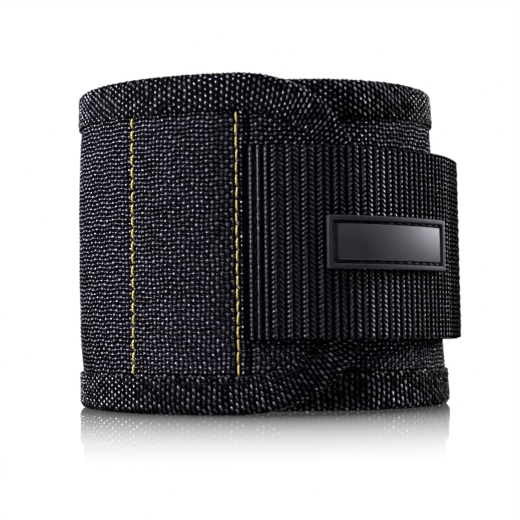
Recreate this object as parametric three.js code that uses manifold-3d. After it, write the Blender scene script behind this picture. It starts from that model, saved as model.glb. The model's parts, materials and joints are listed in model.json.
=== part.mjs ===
// Magnetic wristband: a padded band closed into a loop and held by an elastic strap.
// Millimetres, +Z up, the front of the loop faces -Y. Every layer is set out flat, as it is sewn, with s
// along the band, z across it and h out from its face, and is then wrapped round the wrist.
import * as THREE from "three";
import { mergeVertices } from "three/addons/utils/BufferGeometryUtils.js";
import Module from "manifold-3d";

// Route of the band, seen from above.
const bandHeight = 88;
const bandRadius = 50.5; // outer face of the panel
const tongueTipGap = 0.78; // air between the tongue's tip and the end that is tucked under it
const tuckTipGap = 1.7; // air between that tucked end's own tip and the band around it
const bandLean = 4.6; // how much further out the right side stands at its foot than at its top
const facetLength = 6; // longest flat step along the band

// Layers, from the outside in.
const fit = 0.3; // air between pieces that lie on each other
const shellThickness = 0.8;
const foamThickness = 3;
const liningThickness = 0.9;
const bandThickness = shellThickness + foamThickness + liningThickness + 2 * fit;

// Binding tape, folded over every edge.
const tapeThickness = 0.55;
const tapeWidth = 10;
const tapeEase = 0.8; // bevel where the tape turns over the edge
const tapeTop = fit + tapeThickness;

// Seams that divide the band into pockets, as angles round the loop from the front middle.
const tongueSeamAngle = -6.6;
const frontPocketAngle = 34.9;
const sidePocketAngle = 50;
const pocketCrown = 1.2; // how far a filled pocket swells
const crownSharpnessAlong = 2.5;
const crownSharpnessAcross = 4;

// Tongue: the rounded outer end of the band.
const tongueReach = 30; // from the front middle to the tip
// Shares of the tongue's length and of half its height, for the curve of its corner.
const tongueCornerShares = [[0.47, 0], [1, 0.216], [1, 0.773]];
const tongueSteps = 12;

// Magnets in the foam.
const magnetRadius = 5;
const magnetThickness = 2;
const magnetSink = 0.6; // foam skin over a magnet
const magnetPitch = 13.2;
const magnetsInPocket = 5;

// Golden seam thread.
const threadRadius = 0.35;
const threadArch = 0.3; // how far a stitch stands off between its needle holes
const stitchPitch = 3.4;
const stitchShares = [0, 0.3, 0.7];
const threadSides = 5;

// Elastic strap, sewn to the tongue.
const strapWidth = 50;
const strapRaise = 0.2; // the strap's middle over the band's middle
const strapThickness = 2;
const ribHeight = 0.4;
const ribPitch = 1.85; // measured on the band's face beneath
const selvedge = 1.2; // thinner edge of the webbing
const strapCornerRadius = 3;
const strapRootAngle = -3.8;
const strapPeelAngle = 6; // the sewn stretch ends here and the strap can lift
const strapFoldAngle = 66; // past the label, where the free end folds back
const strapEndAngle = 106;

// Hook and loop fastening under the strap.
const loopThickness = 1.5;
const loopWidth = 47;
const loopStartAngle = -235;
const loopTuckAngle = 40; // how far the loop tape follows the tighter turn
const hookThickness = 1.2;
const hookWidth = 46;
const hookStartAngle = 38;
const strapClimbShare = 1.3; // of the tape's width: the strap is on the tongue's tape this far before its tip

// Rubber label on the strap.
const labelStart = 15.8; // from the front middle, measured on the band's face beneath
const labelLength = 36.6;
const labelHeight = 13.5;
const labelThickness = 1.5;
const labelRim = 1.6;
const labelGroove = 1;
const labelGrooveDepth = 0.8;
const labelPlateDrop = 0.35;
const labelBevel = 0.3;

const quarterTurn = Math.PI / 2;
const arcLength = (angle) => THREE.MathUtils.degToRad(angle) * bandRadius;

// The tucked end turns in tightly enough to clear the tongue's tip, then runs straight until it nears
// the band.
const innerFace = bandRadius - bandThickness - tapeTop;
const tongueTipX = innerFace * Math.sin(tongueReach / bandRadius);
const tuckRadius =
  (innerFace ** 2 + bandRadius ** 2 - 2 * tongueTipX * bandRadius - tongueTipGap ** 2) /
  (2 * (bandRadius - tongueTipX + tongueTipGap));
const tuckFace = tuckRadius + tapeTop;
const tuckRun = bandRadius - tuckRadius + Math.sqrt(innerFace ** 2 - (tuckFace + tuckTipGap) ** 2);
const strapMiddleHeight = bandHeight / 2 + strapRaise;

const sideEnd = arcLength(-270);
const tuckEnd = sideEnd - tuckRadius * quarterTurn;
const bandEnd = tuckEnd - tuckRun;
const tongueSeam = arcLength(tongueSeamAngle);
const frontSeam = arcLength(tongueSeamAngle - frontPocketAngle);
const sideSeam = frontSeam - arcLength(sidePocketAngle);
const backSeam = sideSeam - arcLength(sidePocketAngle);
const edgeInset = tapeThickness + fit; // the layers stop short of the tape's fold
const foamTop = -shellThickness - fit;
const foamBottom = foamTop - foamThickness;
const liningTop = foamBottom - fit;

// Routes

function lean(x, z) {
  return bandLean * (1 / 2 - z / bandHeight) * THREE.MathUtils.smoothstep(x, 0, bandRadius);
}

function placed(x, y, z) {
  return new THREE.Vector3(x + lean(x, z), y, z);
}

// A point at height h over the band's outer face. s runs backwards round the loop and in under the tongue.
function onBand(s, z, h) {
  if (s >= sideEnd) {
    const angle = s / bandRadius;
    const reach = bandRadius + h;
    return placed(reach * Math.sin(angle), -reach * Math.cos(angle), z);
  }
  const past = sideEnd - s;
  const angle = Math.min(past / tuckRadius, quarterTurn);
  const straight = past - angle * tuckRadius;
  const reach = tuckRadius + h;
  return placed(bandRadius - tuckRadius + reach * Math.cos(angle) - straight, -reach * Math.sin(angle), z);
}

// The strap starts flat on the tongue, climbs over the tongue's tape and ends over the hook and loop tapes.
function strapLift(s) {
  const peel = arcLength(strapPeelAngle);
  const tapeStart = tongueReach - tapeWidth * strapClimbShare;
  const overTape = edgeInset * THREE.MathUtils.smoothstep(s, peel, tapeStart);
  const overTapes = loopThickness + hookThickness + 2 * fit - edgeInset;
  const share = THREE.MathUtils.clamp((s - peel) / (arcLength(90) - peel), 0, 1);
  return fit + overTape + overTapes * Math.sin(quarterTurn * share);
}

function onStrap(s, z, h) {
  const angle = s / bandRadius;
  const reach = bandRadius + strapLift(s) + h;
  return placed(reach * Math.sin(angle), -reach * Math.cos(angle), z);
}

// Solids

// Points and triangles as one geometry, with its faces turned out.
function closedSolid(points, faces) {
  let volume = 0;
  for (let i = 0; i < faces.length; i += 3) {
    const [a, b, c] = [points[faces[i]], points[faces[i + 1]], points[faces[i + 2]]];
    volume += a.dot(new THREE.Vector3().crossVectors(b, c));
  }
  const geometry = new THREE.BufferGeometry().setFromPoints(points);
  geometry.setIndex(volume > 0 ? faces : faces.toReversed());
  return geometry;
}

// Two triangles for a four-sided face, split along its shorter diagonal.
function pushQuad(points, faces, a, b, c, d) {
  if (points[a].distanceTo(points[c]) <= points[b].distanceTo(points[d])) {
    faces.push(a, b, c, a, c, d);
  } else {
    faces.push(a, b, d, b, c, d);
  }
}

// A pad with an upper and a lower face. A station says where along, and from which z to which z.
function pad(place, stations, rows, top, bottom) {
  const points = [];
  const faces = [];
  const wide = rows.length;
  const layer = stations.length * wide;
  for (const face of [bottom, top]) {
    for (const { s, low, high } of stations) {
      for (const share of rows) {
        const z = THREE.MathUtils.lerp(low, high, share);
        points.push(place(s, z, face(s, z)));
      }
    }
  }
  for (let i = 0; i + 1 < stations.length; i++) {
    for (let j = 0; j + 1 < wide; j++) {
      const a = i * wide + j;
      pushQuad(points, faces, a, a + 1, a + 1 + wide, a + wide);
      pushQuad(points, faces, a + layer, a + layer + wide, a + layer + wide + 1, a + layer + 1);
    }
    const first = i * wide;
    const last = first + wide - 1;
    pushQuad(points, faces, first, first + wide, first + wide + layer, first + layer);
    pushQuad(points, faces, last, last + layer, last + layer + wide, last + wide);
  }
  for (let j = 0; j + 1 < wide; j++) {
    const far = layer - wide + j;
    pushQuad(points, faces, j, j + layer, j + layer + 1, j + 1);
    pushQuad(points, faces, far, far + 1, far + 1 + layer, far + layer);
  }
  return closedSolid(points, faces);
}

// A bar: one outline carried through a list of steps, with a cap at each end.
function bar(outline, steps, place) {
  const points = [];
  const faces = [];
  const count = outline.length;
  for (const step of steps) {
    for (const [u, v] of outline) points.push(place(step, u, v));
  }
  for (let i = 0; i + 1 < steps.length; i++) {
    for (let j = 0; j < count; j++) {
      const next = (j + 1) % count;
      const a = i * count;
      pushQuad(points, faces, a + j, a + next, a + count + next, a + count + j);
    }
  }
  const contour = outline.map(([u, v]) => new THREE.Vector2(u, v));
  const far = (steps.length - 1) * count;
  for (const [a, b, c] of THREE.ShapeUtils.triangulateShape(contour, [])) {
    faces.push(a, c, b, far + a, far + b, far + c);
  }
  return closedSolid(points, faces);
}

// Places along the band between break points, no further apart than one facet.
function placesAlong(...breaks) {
  const places = [breaks[0]];
  for (let i = 1; i < breaks.length; i++) {
    const run = breaks[i] - breaks[i - 1];
    const steps = Math.max(1, Math.ceil(Math.abs(run) / facetLength));
    for (let j = 1; j <= steps; j++) places.push(breaks[i - 1] + (run * j) / steps);
  }
  return places;
}

const spanned = (places, low, high) => places.map((s) => ({ s, low, high }));
const level = (h) => () => h;

const wasm = await Module();
wasm.setup();

function asManifold(geometry) {
  const bare = geometry.clone();
  bare.deleteAttribute("normal");
  bare.deleteAttribute("uv");
  const merged = mergeVertices(bare);
  const mesh = new wasm.Mesh({
    numProp: 3,
    vertProperties: merged.getAttribute("position").array,
    triVerts: new Uint32Array(merged.index.array),
  });
  return new wasm.Manifold(mesh);
}

function asGeometry(manifold) {
  const mesh = manifold.getMesh();
  const geometry = new THREE.BufferGeometry();
  geometry.setAttribute("position", new THREE.BufferAttribute(mesh.vertProperties, 3));
  geometry.setIndex(new THREE.BufferAttribute(mesh.triVerts, 1));
  return geometry;
}

// Finishes

function finish(color, roughness, metalness) {
  return new THREE.MeshStandardMaterial({ color, roughness, metalness });
}

const panelNylon = () => finish(0x17181d, 0.75, 0);
const bindingTape = () => finish(0x1a1b1f, 0.7, 0);
const foamPad = () => finish(0x3a3b3e, 0.95, 0);
const meshLining = () => finish(0x141518, 0.85, 0);
const goldThread = () => finish(0xe3a51c, 0.5, 0);
const magnetNickel = () => finish(0xb9bcc2, 0.25, 1);
const elasticWebbing = () => finish(0x141519, 0.65, 0);
const loopPile = () => finish(0x101114, 0.95, 0);
const hookTape = () => finish(0x1b1c1f, 0.6, 0);
const labelRubber = () => finish(0x2a2b2f, 0.55, 0);

const wristband = new THREE.Group();

function addPiece(name, geometry, material) {
  const mesh = new THREE.Mesh(geometry, material);
  mesh.name = name;
  wristband.add(mesh);
}

// Pockets

const pockets = [[backSeam, sideSeam], [sideSeam, frontSeam], [frontSeam, tongueSeam]];

// How far the panel swells at a place: most in the middle of a pocket, nothing at its seams and edges.
function crown(s, z) {
  const pocket = pockets.find(([start, end]) => s > start && s < end);
  if (!pocket) return 0;
  const along = (2 * (s - pocket[0])) / (pocket[1] - pocket[0]) - 1;
  const across = THREE.MathUtils.clamp((2 * z - bandHeight) / (bandHeight - 2 * tapeWidth), -1, 1);
  const fullAlong = 1 - Math.abs(along) ** crownSharpnessAlong;
  return pocketCrown * fullAlong * (1 - Math.abs(across) ** crownSharpnessAcross);
}

// Rows across a crowned layer: its two edges, the tape's edges, and places between the tapes.
const openShares = [0, 0.14, 0.5, 0.86, 1];
const layerHeight = bandHeight - 2 * edgeInset;
const crownRows = [0];
for (const share of openShares) {
  crownRows.push((tapeWidth - edgeInset + share * (bandHeight - 2 * tapeWidth)) / layerHeight);
}
crownRows.push(1);
const edgeRows = [0, 1];

const magnetPlaces = (start, end) => {
  const places = [];
  for (let i = 0; i < magnetsInPocket; i++) {
    const z = bandHeight / 2 + (i - (magnetsInPocket - 1) / 2) * magnetPitch;
    places.push({ s: (start + end) / 2, z });
  }
  return places;
};

// A disc whose axis stands square to the band's face, from one height over the face to another.
function disc(radius, { s, z }, bottom, top) {
  const low = onBand(s, z, bottom);
  const high = onBand(s, z, top);
  const segments = 18;
  const geometry = new THREE.CylinderGeometry(radius, radius, top - bottom, segments);
  const outward = new THREE.Vector3().subVectors(high, low).normalize();
  geometry.applyQuaternion(new THREE.Quaternion().setFromUnitVectors(new THREE.Vector3(0, 1, 0), outward));
  const middle = new THREE.Vector3().addVectors(low, high).multiplyScalar(1 / 2);
  return geometry.translate(middle.x, middle.y, middle.z);
}

const magnetTop = ({ s, z }) => crown(s, z) + foamTop - magnetSink;

// Foam with a blind recess for each magnet, open towards the panel.
function recessedFoam(foam, places) {
  let solid = asManifold(foam);
  for (const place of places) {
    const top = magnetTop(place);
    const mouth = top + magnetSink + bandThickness;
    solid = solid.subtract(asManifold(disc(magnetRadius + fit, place, top - magnetThickness - fit, mouth)));
  }
  return asGeometry(solid);
}

function addMagnets(name, places) {
  places.forEach((place, i) => {
    const top = magnetTop(place);
    const body = disc(magnetRadius, place, top - magnetThickness, top);
    addPiece(name + "_magnet_" + (i + 1), body, magnetNickel());
  });
}

// Shell, foam and lining of one stretch of the band.
function addLayers(name, places, magnets) {
  const stations = spanned(places, edgeInset, bandHeight - edgeInset);
  const shellBottom = (s, z) => crown(s, z) - shellThickness;
  const swelledFoam = (s, z) => crown(s, z) + foamTop;
  const foam = pad(onBand, stations, crownRows, swelledFoam, level(foamBottom));
  addPiece(name + "_shell", pad(onBand, stations, crownRows, crown, shellBottom), panelNylon());
  addPiece(name + "_foam", recessedFoam(foam, magnets), foamPad());
  const lining = pad(onBand, stations, edgeRows, level(liningTop), level(liningTop - liningThickness));
  addPiece(name + "_lining", lining, meshLining());
  addMagnets(name, magnets);
}

// Tape folded over an edge: d is the distance in from the edge, h the height over the outer face.
const tapeFoot = -bandThickness - tapeTop;
const tapeOutline = [
  [tapeWidth, tapeTop],
  [tapeEase, tapeTop],
  [0, tapeTop - tapeEase],
  [0, tapeFoot + tapeEase],
  [tapeEase, tapeFoot],
  [tapeWidth, tapeFoot],
  [tapeWidth, -bandThickness - fit],
  [tapeThickness, -bandThickness - fit],
  [tapeThickness, fit],
  [tapeWidth, fit],
];

function addEdgeTapes(name, places) {
  const onTop = (s, d, h) => onBand(s, bandHeight - d, h);
  addPiece(name + "_binding_top", bar(tapeOutline, places, onTop), bindingTape());
  addPiece(name + "_binding_bottom", bar(tapeOutline, places, (s, d, h) => onBand(s, d, h)), bindingTape());
}

// One thread up a seam: it arches over the panel and dips at every needle hole.
function addSeamThread(name, s) {
  const start = tapeWidth + fit;
  const stitches = Math.floor((bandHeight - 2 * start) / stitchPitch);
  const heights = [];
  for (let i = 0; i < stitches; i++) {
    for (const share of stitchShares) heights.push({ z: (i + share) * stitchPitch, share });
  }
  heights.push({ z: stitches * stitchPitch, share: 0 });
  const foot = (bandHeight - stitches * stitchPitch) / 2;
  const outline = [];
  for (let i = 0; i < threadSides; i++) {
    const angle = (4 * quarterTurn * i) / threadSides;
    outline.push([threadRadius * Math.cos(angle), threadRadius * Math.sin(angle)]);
  }
  const place = ({ z, share }, u, v) => {
    const arch = threadArch * Math.sin(2 * quarterTurn * share);
    return onBand(s + u, foot + z, fit + threadRadius + arch + v);
  };
  addPiece(name, bar(outline, heights, place), goldThread());
}

// Back of the band, from its tucked end round to the front seam
const seamGap = fit / 2;
const backStart = bandEnd + edgeInset;
const backPlaces = placesAlong(backStart, tuckEnd, sideEnd, backSeam, sideSeam, frontSeam - seamGap);
const backMagnets = [...magnetPlaces(backSeam, sideSeam), ...magnetPlaces(sideSeam, frontSeam)];
addLayers("back", backPlaces, backMagnets);
addEdgeTapes("back", placesAlong(bandEnd, tuckEnd, sideEnd, backSeam, sideSeam, frontSeam - seamGap));
addSeamThread("back_seam_thread_1", backSeam);
addSeamThread("back_seam_thread_2", sideSeam);

const endTape = bar(
  tapeOutline,
  [tapeWidth + fit, bandHeight - tapeWidth - fit],
  (z, d, h) => onBand(bandEnd + d, z, h),
);
addPiece("back_binding_end", endTape, bindingTape());

// Loop tape, where the strap closes
const loopPlaces = placesAlong(sideEnd - THREE.MathUtils.degToRad(loopTuckAngle) * tuckRadius, sideEnd);
loopPlaces.push(...placesAlong(sideEnd, arcLength(loopStartAngle)).slice(1));
const loopLow = strapMiddleHeight - loopWidth / 2;
const loopStations = spanned(loopPlaces, loopLow, loopLow + loopWidth);
const loopTape = pad(onBand, loopStations, edgeRows, level(fit + loopThickness), level(fit));
addPiece("loop_patch", loopTape, loopPile());

// Front pocket, between the front seam and the tongue's seam
const frontPlaces = placesAlong(frontSeam + seamGap, tongueSeam - seamGap);
addLayers("pocket", frontPlaces, magnetPlaces(frontSeam, tongueSeam));
addEdgeTapes("pocket", frontPlaces);
addSeamThread("pocket_seam_thread", frontSeam);

// Tongue

const tongueStart = tongueSeam + seamGap;
const tongueCorner = new THREE.CubicBezierCurve(
  new THREE.Vector2(tongueStart, bandHeight),
  ...tongueCornerShares.map(
    ([along, drop]) =>
      new THREE.Vector2(
        tongueStart + along * (tongueReach - tongueStart),
        bandHeight - (drop * bandHeight) / 2,
      ),
  ),
);

// The upper half of the tongue's outline, with the direction into the tongue at each point.
const tongueEdge = [];
for (let i = 0; i <= tongueSteps; i++) {
  const point = tongueCorner.getPoint(i / tongueSteps);
  const tangent = tongueCorner.getTangent(i / tongueSteps);
  tongueEdge.push({ s: point.x, z: point.y, inS: tangent.y, inZ: -tangent.x });
}
const tongueStations = tongueEdge.map(({ s, z, inS, inZ }) => {
  const high = z + inZ * edgeInset;
  return { s: s + inS * edgeInset, low: bandHeight - high, high };
});

const tonguePad = (top, bottom) => pad(onBand, tongueStations, edgeRows, level(top), level(bottom));
addPiece("tongue_shell", tonguePad(0, -shellThickness), panelNylon());
addPiece("tongue_foam", tonguePad(foamTop, foamBottom), foamPad());
addPiece("tongue_lining", tonguePad(liningTop, liningTop - liningThickness), meshLining());
addSeamThread("tongue_seam_thread", tongueSeam);

// Its tape runs along the top, round the end and back along the bottom in one length.
const tongueRoute = [...tongueEdge];
for (const { s, z, inS, inZ } of tongueEdge.toReversed()) {
  tongueRoute.push({ s, z: bandHeight - z, inS, inZ: -inZ });
}
const alongTongue = ({ s, z, inS, inZ }, d, h) => onBand(s + inS * d, z + inZ * d, h);
addPiece("tongue_binding", bar(tapeOutline, tongueRoute, alongTongue), bindingTape());

// Elastic strap

const strapLow = strapMiddleHeight - strapWidth / 2;
const strapStart = arcLength(strapRootAngle);
const strapPeel = arcLength(strapPeelAngle);
const strapFold = arcLength(strapFoldAngle);
const strapEnd = arcLength(strapEndAngle);
const strapRows = [0, selvedge / strapWidth, 1 - selvedge / strapWidth, 1];

// The face of the webbing: ribs across it, and a thinner edge above and below.
function webbingFace(s, z) {
  const onEdge = Math.abs(z - strapMiddleHeight) > (strapWidth - selvedge) / 2;
  const rib = (1 - Math.cos((4 * quarterTurn * (s - strapStart)) / ribPitch)) / 2;
  return onEdge ? strapThickness - ribHeight : strapThickness + ribHeight * rib;
}

// Two places to a rib, at its foot and at its crest.
function ribPlaces(start, end) {
  const places = [start];
  const halfRib = ribPitch / 2;
  const first = Math.ceil((start - strapStart) / halfRib + 1 / 2);
  const last = Math.ceil((end - strapStart) / halfRib - 1 / 2);
  for (let i = first; i < last; i++) places.push(strapStart + i * halfRib);
  places.push(end);
  return places;
}

// How far the strap's corner draws in, near its free end.
function strapCorner(s) {
  const left = Math.max(strapCornerRadius - (strapEnd - s), 0);
  return strapCornerRadius - Math.sqrt(Math.max(strapCornerRadius ** 2 - left ** 2, 0));
}

function addStrap(name, start, end) {
  const stations = ribPlaces(start, end).map((s) => {
    const drawn = Math.min(strapCorner(s), strapCornerRadius - ribHeight);
    return { s, low: strapLow + drawn, high: strapLow + strapWidth - drawn };
  });
  addPiece(name, pad(onStrap, stations, strapRows, webbingFace, level(0)), elasticWebbing());
}

function addHooks(name, start, end) {
  const low = strapMiddleHeight - hookWidth / 2;
  const stations = spanned(placesAlong(start, end), low, low + hookWidth);
  const hooks = pad(onStrap, stations, edgeRows, level(-fit), level(-fit - hookThickness));
  addPiece(name, hooks, hookTape());
}

addStrap("strap_root", strapStart, strapPeel - seamGap);
addStrap("strap_middle", strapPeel + seamGap, strapFold - seamGap);
addHooks("strap_middle_hooks", arcLength(hookStartAngle), strapFold - seamGap);
addStrap("strap_end", strapFold + seamGap, strapEnd);
addHooks("strap_end_hooks", strapFold + seamGap, strapEnd - strapCornerRadius);

// Label: a raised rim, a sunk groove for its stitches, and a bare plate in the middle.

const labelSteps = [
  [0, labelBevel],
  [labelBevel, 0],
  [labelRim, 0],
  [labelRim + labelBevel, labelGrooveDepth],
  [labelRim + labelGroove, labelGrooveDepth],
  [labelRim + labelGroove + labelBevel, labelPlateDrop],
]; // distance in from the edge, and depth under the rim

const labelFoot = strapThickness + ribHeight + fit;
const labelLow = strapMiddleHeight - labelHeight / 2;
const labelInsets = labelSteps.map(([inset]) => inset);

function labelFace(s, z) {
  const edges = [s - labelStart, labelStart + labelLength - s, z - labelLow, labelLow + labelHeight - z];
  const inset = Math.min(...edges);
  const depth = (step) => labelSteps[Math.min(Math.max(step, 0), labelSteps.length - 1)][1];
  const nearest = labelInsets.findLastIndex((edge) => edge <= inset + labelBevel / 2);
  return labelFoot + labelThickness - depth(nearest);
}

const plateInset = labelInsets.at(-1);
const labelPlate = placesAlong(labelStart + plateInset, labelStart + labelLength - plateInset);
const labelPlaces = [
  ...labelInsets.slice(0, -1).map((inset) => labelStart + inset),
  ...labelPlate,
  ...labelInsets.slice(0, -1).toReversed().map((inset) => labelStart + labelLength - inset),
];
const labelRows = [
  ...labelInsets.map((inset) => inset / labelHeight),
  ...labelInsets.toReversed().map((inset) => 1 - inset / labelHeight),
];
const labelStations = spanned(labelPlaces, labelLow, labelLow + labelHeight);
addPiece("label_patch", pad(onStrap, labelStations, labelRows, labelFace, level(labelFoot)), labelRubber());

// The origin is under the middle of the loop, at the height of its foot.
const extent = new THREE.Box3().setFromObject(wristband);
const middle = extent.getCenter(new THREE.Vector3());
wristband.position.set(-middle.x, -middle.y, -extent.min.z);

export default wristband;
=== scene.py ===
# Magnetic wristband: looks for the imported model, in metres, +Z up, the front of the loop faces -Y.
import json
import math

import bpy
import numpy as np
from mathutils import Matrix, Vector


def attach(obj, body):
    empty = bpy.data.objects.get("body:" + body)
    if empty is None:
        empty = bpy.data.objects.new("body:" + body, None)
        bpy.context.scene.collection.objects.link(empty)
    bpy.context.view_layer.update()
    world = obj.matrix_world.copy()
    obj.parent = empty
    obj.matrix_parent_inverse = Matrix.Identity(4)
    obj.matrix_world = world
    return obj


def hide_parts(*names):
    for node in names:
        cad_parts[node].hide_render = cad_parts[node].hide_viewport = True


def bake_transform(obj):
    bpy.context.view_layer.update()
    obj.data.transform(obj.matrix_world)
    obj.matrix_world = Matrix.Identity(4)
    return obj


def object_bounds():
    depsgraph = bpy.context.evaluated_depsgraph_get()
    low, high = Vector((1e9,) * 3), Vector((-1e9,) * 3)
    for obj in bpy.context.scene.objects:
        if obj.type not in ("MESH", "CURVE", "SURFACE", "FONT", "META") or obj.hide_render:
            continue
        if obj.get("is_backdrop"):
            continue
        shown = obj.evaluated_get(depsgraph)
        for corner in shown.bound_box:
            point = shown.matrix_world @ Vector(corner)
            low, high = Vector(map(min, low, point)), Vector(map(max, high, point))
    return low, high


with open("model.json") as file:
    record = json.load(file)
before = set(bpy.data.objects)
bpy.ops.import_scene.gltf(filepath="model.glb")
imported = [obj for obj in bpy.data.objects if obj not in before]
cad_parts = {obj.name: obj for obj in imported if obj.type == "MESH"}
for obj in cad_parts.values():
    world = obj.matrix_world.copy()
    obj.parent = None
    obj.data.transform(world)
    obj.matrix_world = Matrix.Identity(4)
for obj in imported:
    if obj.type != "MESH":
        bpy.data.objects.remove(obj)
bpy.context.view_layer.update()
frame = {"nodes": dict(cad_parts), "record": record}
mm = 0.001
quarterTurn = math.pi / 2
print("frame loaded")

# The band's route. Every layer is set out flat in millimetres, with s along the band, z across it and
# h out from its face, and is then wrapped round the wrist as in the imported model.
band = {
    "height": 88, "radius": 50.5, "lean": 4.6, "tongueTipGap": 0.78, "tuckTipGap": 1.7,
    "fit": 0.3, "shell": 0.8, "foam": 3, "lining": 0.9, "tape": 0.55, "footRadius": 47.85,
}
pocket = {
    "tongueSeam": -6.6, "frontPocket": 34.9, "sidePocket": 50,  # degrees round the wrist
    "crown": 1.2, "sharpAlong": 2.5, "sharpAcross": 4,
}
tape = {
    "width": 10, "round": 2.1, "edgeRound": 0.45, "columnPitch": 1.42, "dashPeriod": 1.7, "dashShare": 0.72,
    "slant": 0.6, "relief": 0.32, "samplesAlong": 4, "samplesAcross": 5, "wobble": 0.12, "crossing": 0.45,
    "ridgePower": 1.8, "lipSteps": 5, "bendSteps": 14, "innerBendSteps": 4, "innerPlaces": (0.05, 2.5, 5),
    "calmReach": 1,
}
tongue = {
    "reach": 30, "cornerShares": [(0, 0), (0.47, 0), (1, 0.216), (1, 0.773)], "steps": 240,
    "edgeSamples": 6000, "areaSamples": 400,
}

footMount = [m for m in frame["record"]["mounts"] if m["name"] == "foot_face"][0]
loopX = footMount["pos_m"][0] / mm  # the loop's axis in the row frame
loopY = footMount["pos_m"][1] / mm - band["footRadius"]

height = band["height"]
radius = band["radius"]
fit = band["fit"]
bandThickness = band["shell"] + band["foam"] + band["lining"] + 2 * fit
tapeTop = fit + band["tape"]
innerFace = radius - bandThickness - tapeTop
tongueTipX = innerFace * math.sin(tongue["reach"] / radius)
tuckRadius = (
    (innerFace ** 2 + radius ** 2 - 2 * tongueTipX * radius - band["tongueTipGap"] ** 2)
    / (2 * (radius - tongueTipX + band["tongueTipGap"]))
)
tuckRun = radius - tuckRadius + math.sqrt(innerFace ** 2 - (tuckRadius + tapeTop + band["tuckTipGap"]) ** 2)


def arcLength(angle):
    return math.radians(angle) * radius


sideEnd = arcLength(-270)
bandEnd = sideEnd - tuckRadius * quarterTurn - tuckRun
tongueSeam = arcLength(pocket["tongueSeam"])
frontSeam = tongueSeam - arcLength(pocket["frontPocket"])
sideSeam = frontSeam - arcLength(pocket["sidePocket"])
backSeam = sideSeam - arcLength(pocket["sidePocket"])
midPocket = (frontSeam + tongueSeam) / 2
foamTop = -band["shell"] - fit
foamBottom = foamTop - band["foam"]
liningTop = foamBottom - fit
layerInset = 1.6  # the layers stop this far inside the band's edge, under the tape's fold


def eased(x, start, end):
    t = np.clip((x - start) / (end - start), 0, 1)
    return t * t * (3 - 2 * t)


def placed(x, y, z, lean=band["lean"], stand=0):
    leanOut = (lean * (0.5 - z / height) + stand) * eased(x, 0, radius)
    return np.stack([x + leanOut + loopX, y + loopY, z + 0 * x], axis=-1) * mm


def onBand(s, z, h):
    s, z, h = np.broadcast_arrays(s, z, h)
    angle = s / radius
    past = np.maximum(sideEnd - s, 0)
    turn = np.minimum(past / tuckRadius, quarterTurn)
    straight = past - turn * tuckRadius
    outside = s >= sideEnd
    x = np.where(outside, (radius + h) * np.sin(angle),
                 radius - tuckRadius + (tuckRadius + h) * np.cos(turn) - straight)
    y = np.where(outside, -(radius + h) * np.cos(angle), -(tuckRadius + h) * np.sin(turn))
    return placed(x, y, z)


def crown(s, z):
    across = np.clip((2 * z - height) / (height - 2 * tape["width"]), -1, 1)
    acrossShare = 1 - np.abs(across) ** pocket["sharpAcross"]
    swell = 0 * (s + z)
    for start, end in ((backSeam, sideSeam), (sideSeam, frontSeam), (frontSeam, tongueSeam)):
        along = np.clip((2 * (s - start)) / (end - start) - 1, -1, 1)
        swell = swell + (1 - np.abs(along) ** pocket["sharpAlong"]) * acrossShare
    return pocket["crown"] * swell


mixing = {"first": 127.1, "second": 311.7, "spread": 43758.5453}
hair = 1e-6  # keeps a place that falls on the edge of a cell inside it


# Small random shares from whole numbers, the same on every run.
def cellShare(a, b):
    mixed = np.sin(a * mixing["first"] + b * mixing["second"]) * mixing["spread"]
    return mixed - np.floor(mixed)


# A wave over a, bent by another wave over b.
def bentWave(a, b, pace, swing, otherPace):
    return np.sin(a * pace + swing * np.sin(b * otherPace))


# mesh makers

sharpAngles = {"piece": 50, "copies": 60}


# A mesh with each point's place on the flat cloth as its UV map.
def meshObject(name, points, faces, flat, sharpAngle):
    mesh = bpy.data.meshes.new(name)
    mesh.from_pydata(points.tolist(), [], faces)
    corners = np.empty(len(mesh.loops), np.int32)
    mesh.loops.foreach_get("vertex_index", corners)
    mesh.uv_layers.new(name="cloth").uv.foreach_set("vector", flat[corners].astype(np.float32).ravel())
    mesh.shade_smooth()
    mesh.set_sharp_from_angle(angle=math.radians(sharpAngle))
    piece = bpy.data.objects.new(name, mesh)
    bpy.context.scene.collection.objects.link(piece)
    return piece


# Points that no face uses are dropped, and the faces are turned outwards.
def makePiece(name, points, quads, caps, flat):
    named = np.concatenate([quads.ravel(), *[np.array(cap) for cap in caps]])
    used, compact = np.unique(named, return_inverse=True)
    quads = compact[:quads.size].reshape(quads.shape)
    rest = compact[quads.size:]
    faces = []
    for face in quads.tolist():
        face = list(dict.fromkeys(face))
        if len(face) > 2:
            faces.append(face)
    for cap in caps:
        faces.append(rest[:len(cap)].tolist())
        rest = rest[len(cap):]
    piece = meshObject(name, points[used], faces, flat[used], sharpAngles["piece"])
    mesh = piece.data
    mesh.calc_loop_triangles()
    triangles = np.empty(len(mesh.loop_triangles) * 3, np.int32)
    mesh.loop_triangles.foreach_get("vertices", triangles)
    a, b, c = (points[used][triangles.reshape(-1, 3)[:, i]] for i in range(3))
    if (a * np.cross(b, c)).sum() < 0:
        mesh.flip_normals()
    return piece


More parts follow.
